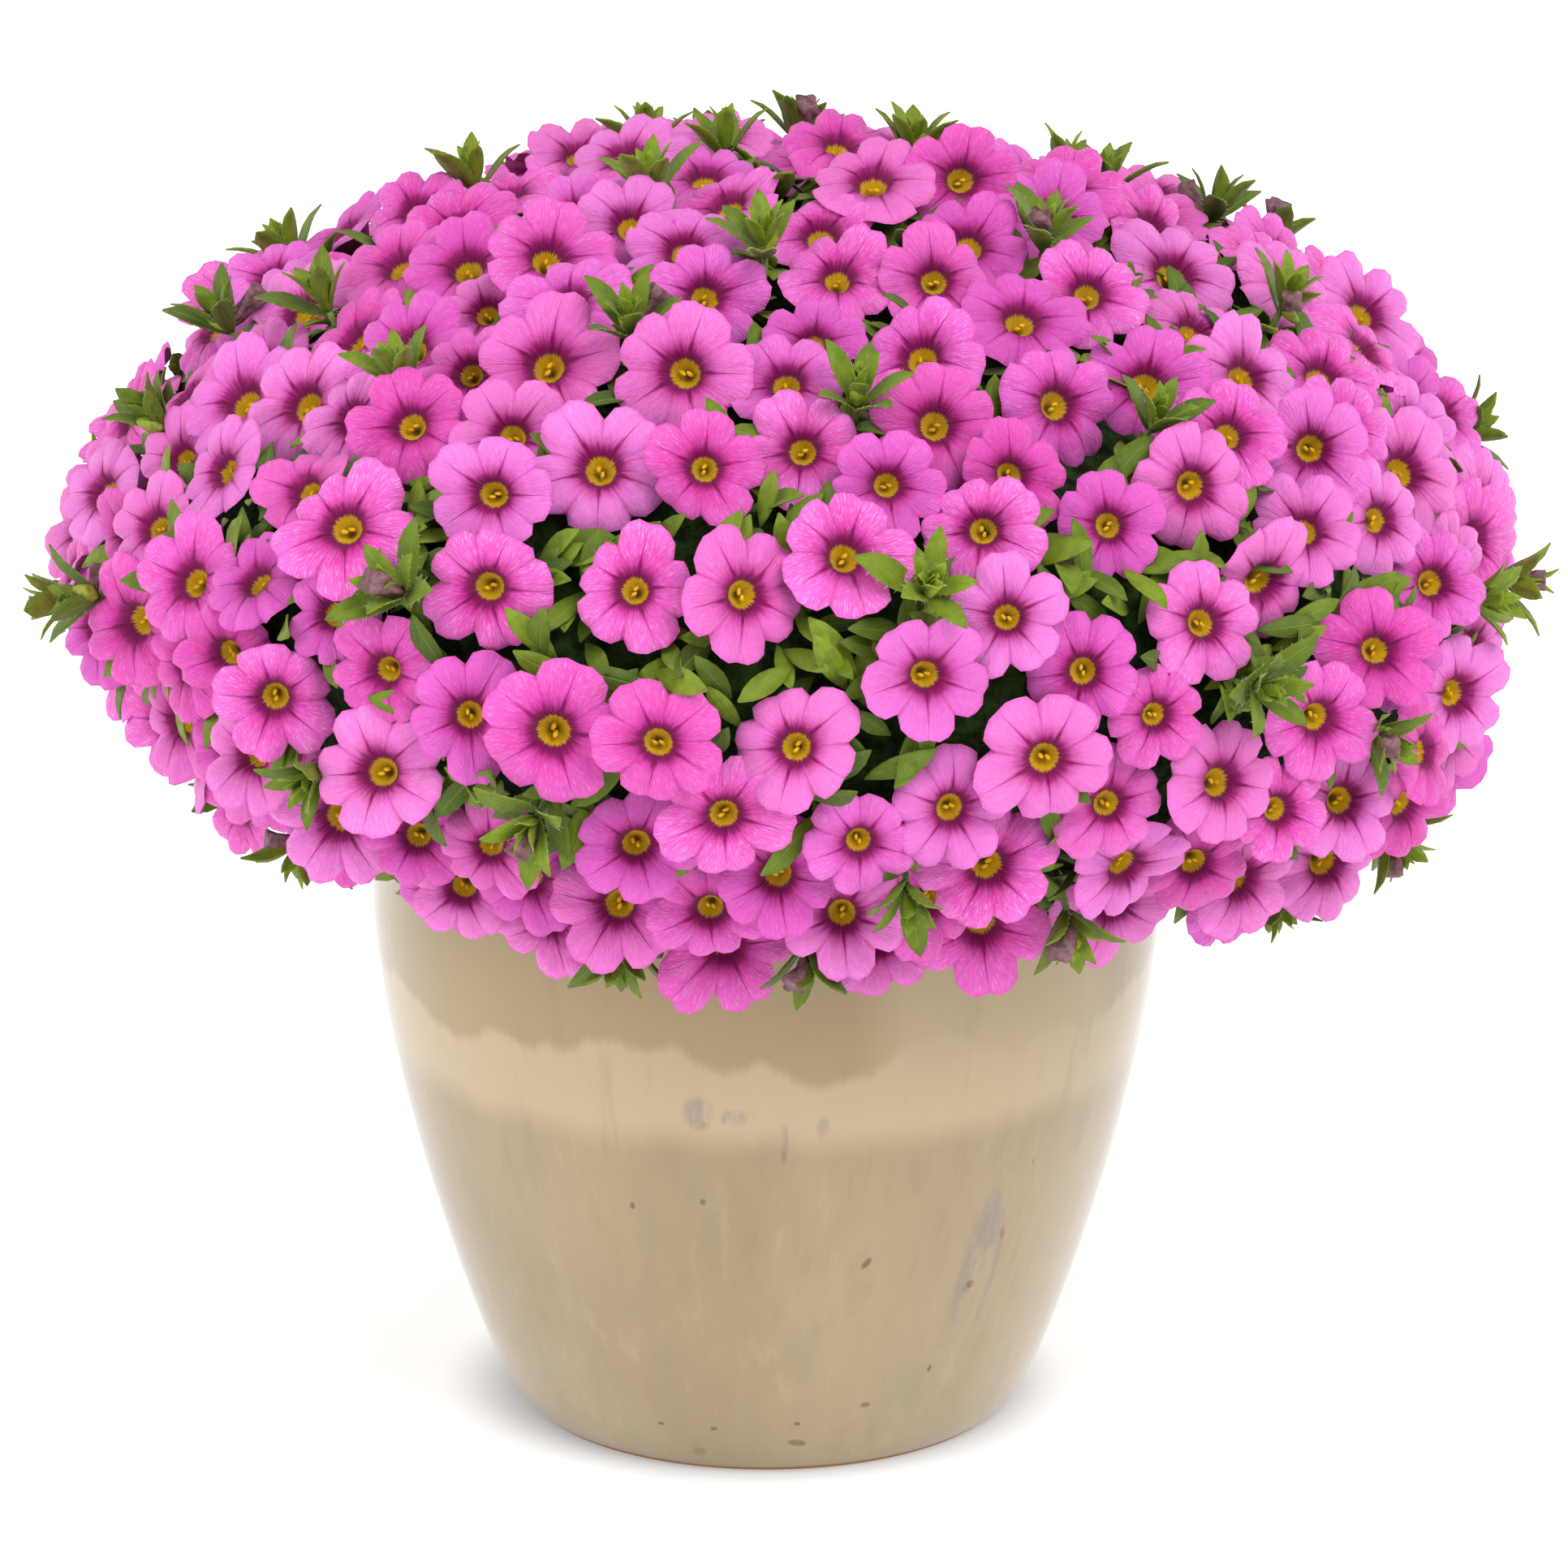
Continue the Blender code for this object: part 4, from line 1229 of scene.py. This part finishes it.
class FLOWERPOT_OT_pot(bpy.types.Operator):
    """Turns the glazed pot, ring by ring, and drills its drain holes"""

    bl_idname = "flowerpot.pot"
    bl_label = "Build pot"

    def execute(self, context):
        outline = pot_outline()
        deselect()
        radius, height = outline[0][0] - FIRST_STEP, 0.0
        bpy.ops.mesh.primitive_circle_add(vertices=POT_SIDES, radius=radius, fill_type="NGON")
        pot = named("pot_glazed")
        edit_all()
        for next_radius, next_height in outline:
            ring(next_radius / radius, next_height - height)
            radius, height = next_radius, next_height
        bpy.ops.mesh.extrude_edges_move()
        bpy.ops.mesh.merge(type="CENTER")
        close_edit()
        drill_drains(pot)
        bpy.ops.object.shade_smooth_by_angle(angle=math.radians(40))
        paint(pot, finish("glaze"))
        put(pot, "glazed_ceramic", "pot")
        return {"FINISHED"}


def drill_drains(pot):
    """Cuts the drain holes through the pot's base."""
    for index in range(DRAINS):
        angle = math.tau * index / DRAINS
        place = (DRAIN_CIRCLE * math.cos(angle), DRAIN_CIRCLE * math.sin(angle), BASE_THICKNESS / 2)
        deselect()
        bpy.ops.mesh.primitive_cylinder_add(
            vertices=24, radius=DRAIN_RADIUS, depth=DRILL_LENGTH, location=place
        )
        bit = named("drill")
        deselect()
        pot.select_set(True)
        bpy.context.view_layer.objects.active = pot
        cut = pot.modifiers.new("drain", "BOOLEAN")
        cut.operation = "DIFFERENCE"
        cut.object = bit
        bpy.ops.object.modifier_apply(modifier=cut.name)
        drop(bit)


class FLOWERPOT_OT_soil(bpy.types.Operator):
    """Paints the imported soil and the crown with the soil and stem finishes"""

    bl_idname = "flowerpot.soil"
    bl_label = "Build soil and crown"

    def execute(self, context):
        for node, look in (("soil", "soil"), ("crown", "stem")):
            paint(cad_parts[node], finish(look))
        return {"FINISHED"}


class FLOWERPOT_OT_inner(bpy.types.Operator):
    """Models the mass of stems and leaves inside the mound, painted dark for the shade within it"""

    bl_idname = "flowerpot.inner"
    bl_label = "Build inner foliage"

    def execute(self, context):
        deselect()
        bpy.ops.mesh.primitive_uv_sphere_add(segments=96, ring_count=48, radius=1.0)
        inner = named("inner_foliage")
        rng = np.random.default_rng(LOOK_SEED + 1)
        units = unit(coordinates(inner))
        co = mound_surface(units, INNER_DEPTH)
        rough = rng.uniform(-INNER_ROUGHNESS, INNER_ROUGHNESS, len(units))
        co += mound_normals(units) * rough[:, None]
        co[:, 2] = np.maximum(co[:, 2], CORE_FLOOR)
        set_coordinates(inner, co)
        edit_all()
        bpy.ops.mesh.remove_doubles(threshold=0.00001)
        close_edit()
        smooth(inner)
        paint(inner, finish("shaded_inner_green"))
        put(inner, "leaf")
        return {"FINISHED"}


class FLOWERPOT_OT_blooms(bpy.types.Operator):
    """Opens every bloom of every spray"""

    bl_idname = "flowerpot.blooms"
    bl_label = "Build blooms"

    def execute(self, context):
        _, radii, group, _, frames = plan()
        settings = context.scene.flowerpot_plant
        rng = np.random.default_rng(LOOK_SEED + 2)
        master = bloom_master()
        paint(master, finish("petal"))
        master = add_stamens(master)
        sprays = spray_centres()
        pieces = [[] for _ in sprays]
        for index, place in frames.items():
            lift = Matrix.Translation((0.0, 0.0, rng.normal(0.0, settings.extra_lift)))
            lean = Matrix.Rotation(rng.normal(0.0, settings.extra_tilt), 4, "X")
            shape = bloom_shape(rng, radii[index] * rng.uniform(*SIZE_SPREAD))
            piece = copy_of(master, place @ lean @ lift, shape, float(rng.uniform(0.0, 1.0)) ** 1.5)
            pieces[group[index]].append(piece)
        for place, radius in gap_blooms():
            number = nearest_spray(np.array([place.translation]))[0]
            shape = bloom_shape(rng, radius)
            # Painted shade: the blooms in the gaps, under the others, take shade values from 0.45 up,
            # which darken their petals.
            pieces[number].append(copy_of(master, place, shape, float(rng.uniform(0.45, 1.0))))
        for (name, _), parts in zip(sprays, pieces):
            put(join(parts, f"{name}_open_blooms"), "petal", f"{name}_blooms")
        drop(master)
        return {"FINISHED"}


class FLOWERPOT_OT_leaves(bpy.types.Operator):
    """Grows the leafy shoots, the leaves between them, the buds and the spent blooms"""

    bl_idname = "flowerpot.leaves"
    bl_label = "Build leaves"

    def execute(self, context):
        units, _, group, is_bloom, _ = plan()
        rng = np.random.default_rng(LOOK_SEED + 3)
        points, normals = mound_surface(units), mound_normals(units)
        leaf, bare_leaf = leaf_master("leaf_master", True), leaf_master("bare_leaf_master", False)
        bud, spent = bud_master(), spent_master()
        for number, (name, _) in enumerate(spray_centres()):
            parts = filler_leaves(number, bare_leaf, rng)
            for index in np.flatnonzero(~is_bloom & (group == number)):
                here, axis = Vector(points[index]), Vector(normals[index])
                parts += rosette(leaf, bud, here, axis, rng, rng.uniform(0.1, 0.55))
                parts.append(stem(here - axis * STEM_LENGTH, here))
                if rng.uniform() < 0.4:
                    parts.append(spent_by(spent, here, axis, rng))
            put(join(parts, f"{name}_foliage"), "leaf", f"{name}_leaves")
        drop(leaf, bare_leaf, bud, spent)
        return {"FINISHED"}


def soft_light(name, place, aim, size, power):
    """A rectangular light that looks at a point."""
    light = bpy.data.lights.new(name, "AREA")
    light.shape = "RECTANGLE"
    light.size, light.size_y, light.energy = size[0], size[1], power
    lamp = bpy.data.objects.new(name, light)
    bpy.context.scene.collection.objects.link(lamp)
    lamp.location = place
    lamp.rotation_euler = (Vector(aim) - Vector(place)).to_track_quat("-Z", "Y").to_euler()
    return lamp


class FLOWERPOT_OT_stage(bpy.types.Operator):
    """Sets the white floor, the soft lights and the camera"""

    bl_idname = "flowerpot.stage"
    bl_label = "Build stage"

    def execute(self, context):
        settings = context.scene.flowerpot_studio
        deselect()
        bpy.ops.mesh.primitive_plane_add(size=FLOOR_SIZE)
        floor = named("floor")
        paint(floor, floor_look(settings.backdrop, settings.glow))
        context.scene.world = white_surround(settings.world)
        lamps = [
            soft_light("key", (0.9, -1.4, 1.9), AIM, (1.4, 1.4), settings.key_power),
            soft_light("fill", (-1.6, -0.9, 1.1), AIM, (1.2, 1.6), settings.fill_power),
            soft_light("left_edge", (-1.25, 1.05, 0.55), LOW_AIM, (0.35, 1.3), settings.edge_power),
            soft_light("right_edge", (1.35, 0.95, 0.55), LOW_AIM, (0.35, 1.3), settings.edge_power),
        ]
        context.scene.camera = make_camera()
        context.scene.view_settings.view_transform = "Standard"
        return {"FINISHED"}


def floor_look(backdrop, glow):
    """A floor that shines by itself, more so far away, and less where the pot's foot shades it."""
    look = Look("floor", Emission_Strength=glow)
    x, y, _ = look.parts(look.place())
    x, y = x - FOOT_SHADE[0], y - FOOT_SHADE[1]
    away = (x * x + y * y) ** 0.5
    clear = away.step(*FOOT_SHADE_EDGE)
    colour = look.mix(clear, tuple(0.6 * c for c in backdrop), tuple(backdrop))
    shine = look.mix(clear, (0.36, 0.36, 0.36), (1.0, 1.0, 1.0))
    shine = look.mix(away.step(*FAR_FLOOR), shine, (1.6, 1.6, 1.6))
    look.feed(look.shader.inputs["Emission Color"], shine)
    return look.surface(colour, 0.9)


def white_surround(strength):
    """A surround that the camera sees as pure white and that lights the plant at its own strength."""
    world = bpy.data.worlds.new("surround")
    world.use_nodes = True
    nodes, links = world.node_tree.nodes, world.node_tree.links
    background = nodes["Background"]
    background.inputs[0].default_value = (1.0, 1.0, 1.0, 1.0)
    seen = nodes.new("ShaderNodeLightPath")
    level = nodes.new("ShaderNodeMapRange")
    level.inputs["To Min"].default_value = strength
    level.inputs["To Max"].default_value = 1.0
    links.new(seen.outputs["Is Camera Ray"], level.inputs["Value"])
    links.new(level.outputs[0], background.inputs[1])
    return world


def make_camera():
    """The photograph's view: a long lens, from a little above the blooms."""
    data = bpy.data.cameras.new("camera")
    data.sensor_width = 36.0
    data.lens = CAMERA_LENS
    data.shift_x = CAMERA_SHIFT
    data.clip_end = 30.0
    camera = bpy.data.objects.new("camera", data)
    bpy.context.scene.collection.objects.link(camera)
    camera.location = CAMERA_PLACE
    camera.rotation_euler = (math.radians(90.0 - CAMERA_PITCH), 0.0, 0.0)
    return camera


class FLOWERPOT_PT_panel(bpy.types.Panel):
    """The steps that build the potted plant, in order"""

    bl_label = "Flower pot"
    bl_idname = "FLOWERPOT_PT_panel"
    bl_space_type = "VIEW_3D"
    bl_region_type = "UI"
    bl_category = "Flower pot"

    def draw(self, context):
        layout = self.layout
        for step in STEPS:
            layout.operator(step.bl_idname)
        for group, names in (
            (context.scene.flowerpot_plant, PlantSettings.__annotations__),
            (context.scene.flowerpot_studio, StudioSettings.__annotations__),
        ):
            for name in names:
                layout.prop(group, name)


STEPS = (
    FLOWERPOT_OT_finishes,
    FLOWERPOT_OT_pot,
    FLOWERPOT_OT_soil,
    FLOWERPOT_OT_inner,
    FLOWERPOT_OT_blooms,
    FLOWERPOT_OT_leaves,
    FLOWERPOT_OT_stage,
)
CLASSES = (PlantSettings, StudioSettings, *STEPS, FLOWERPOT_PT_panel)


def register():
    for item in CLASSES:
        bpy.utils.register_class(item)
    bpy.types.Scene.flowerpot_plant = bpy.props.PointerProperty(type=PlantSettings)
    bpy.types.Scene.flowerpot_studio = bpy.props.PointerProperty(type=StudioSettings)


def unregister():
    del bpy.types.Scene.flowerpot_plant
    del bpy.types.Scene.flowerpot_studio
    for item in reversed(CLASSES):
        bpy.utils.unregister_class(item)


def main():
    register()
    bpy.ops.flowerpot.finishes()
    bpy.ops.flowerpot.pot()
    bpy.ops.flowerpot.soil()
    bpy.ops.flowerpot.inner()
    bpy.ops.flowerpot.blooms()
    bpy.ops.flowerpot.leaves()
    bpy.ops.flowerpot.stage()


if __name__ == "__main__":
    main()
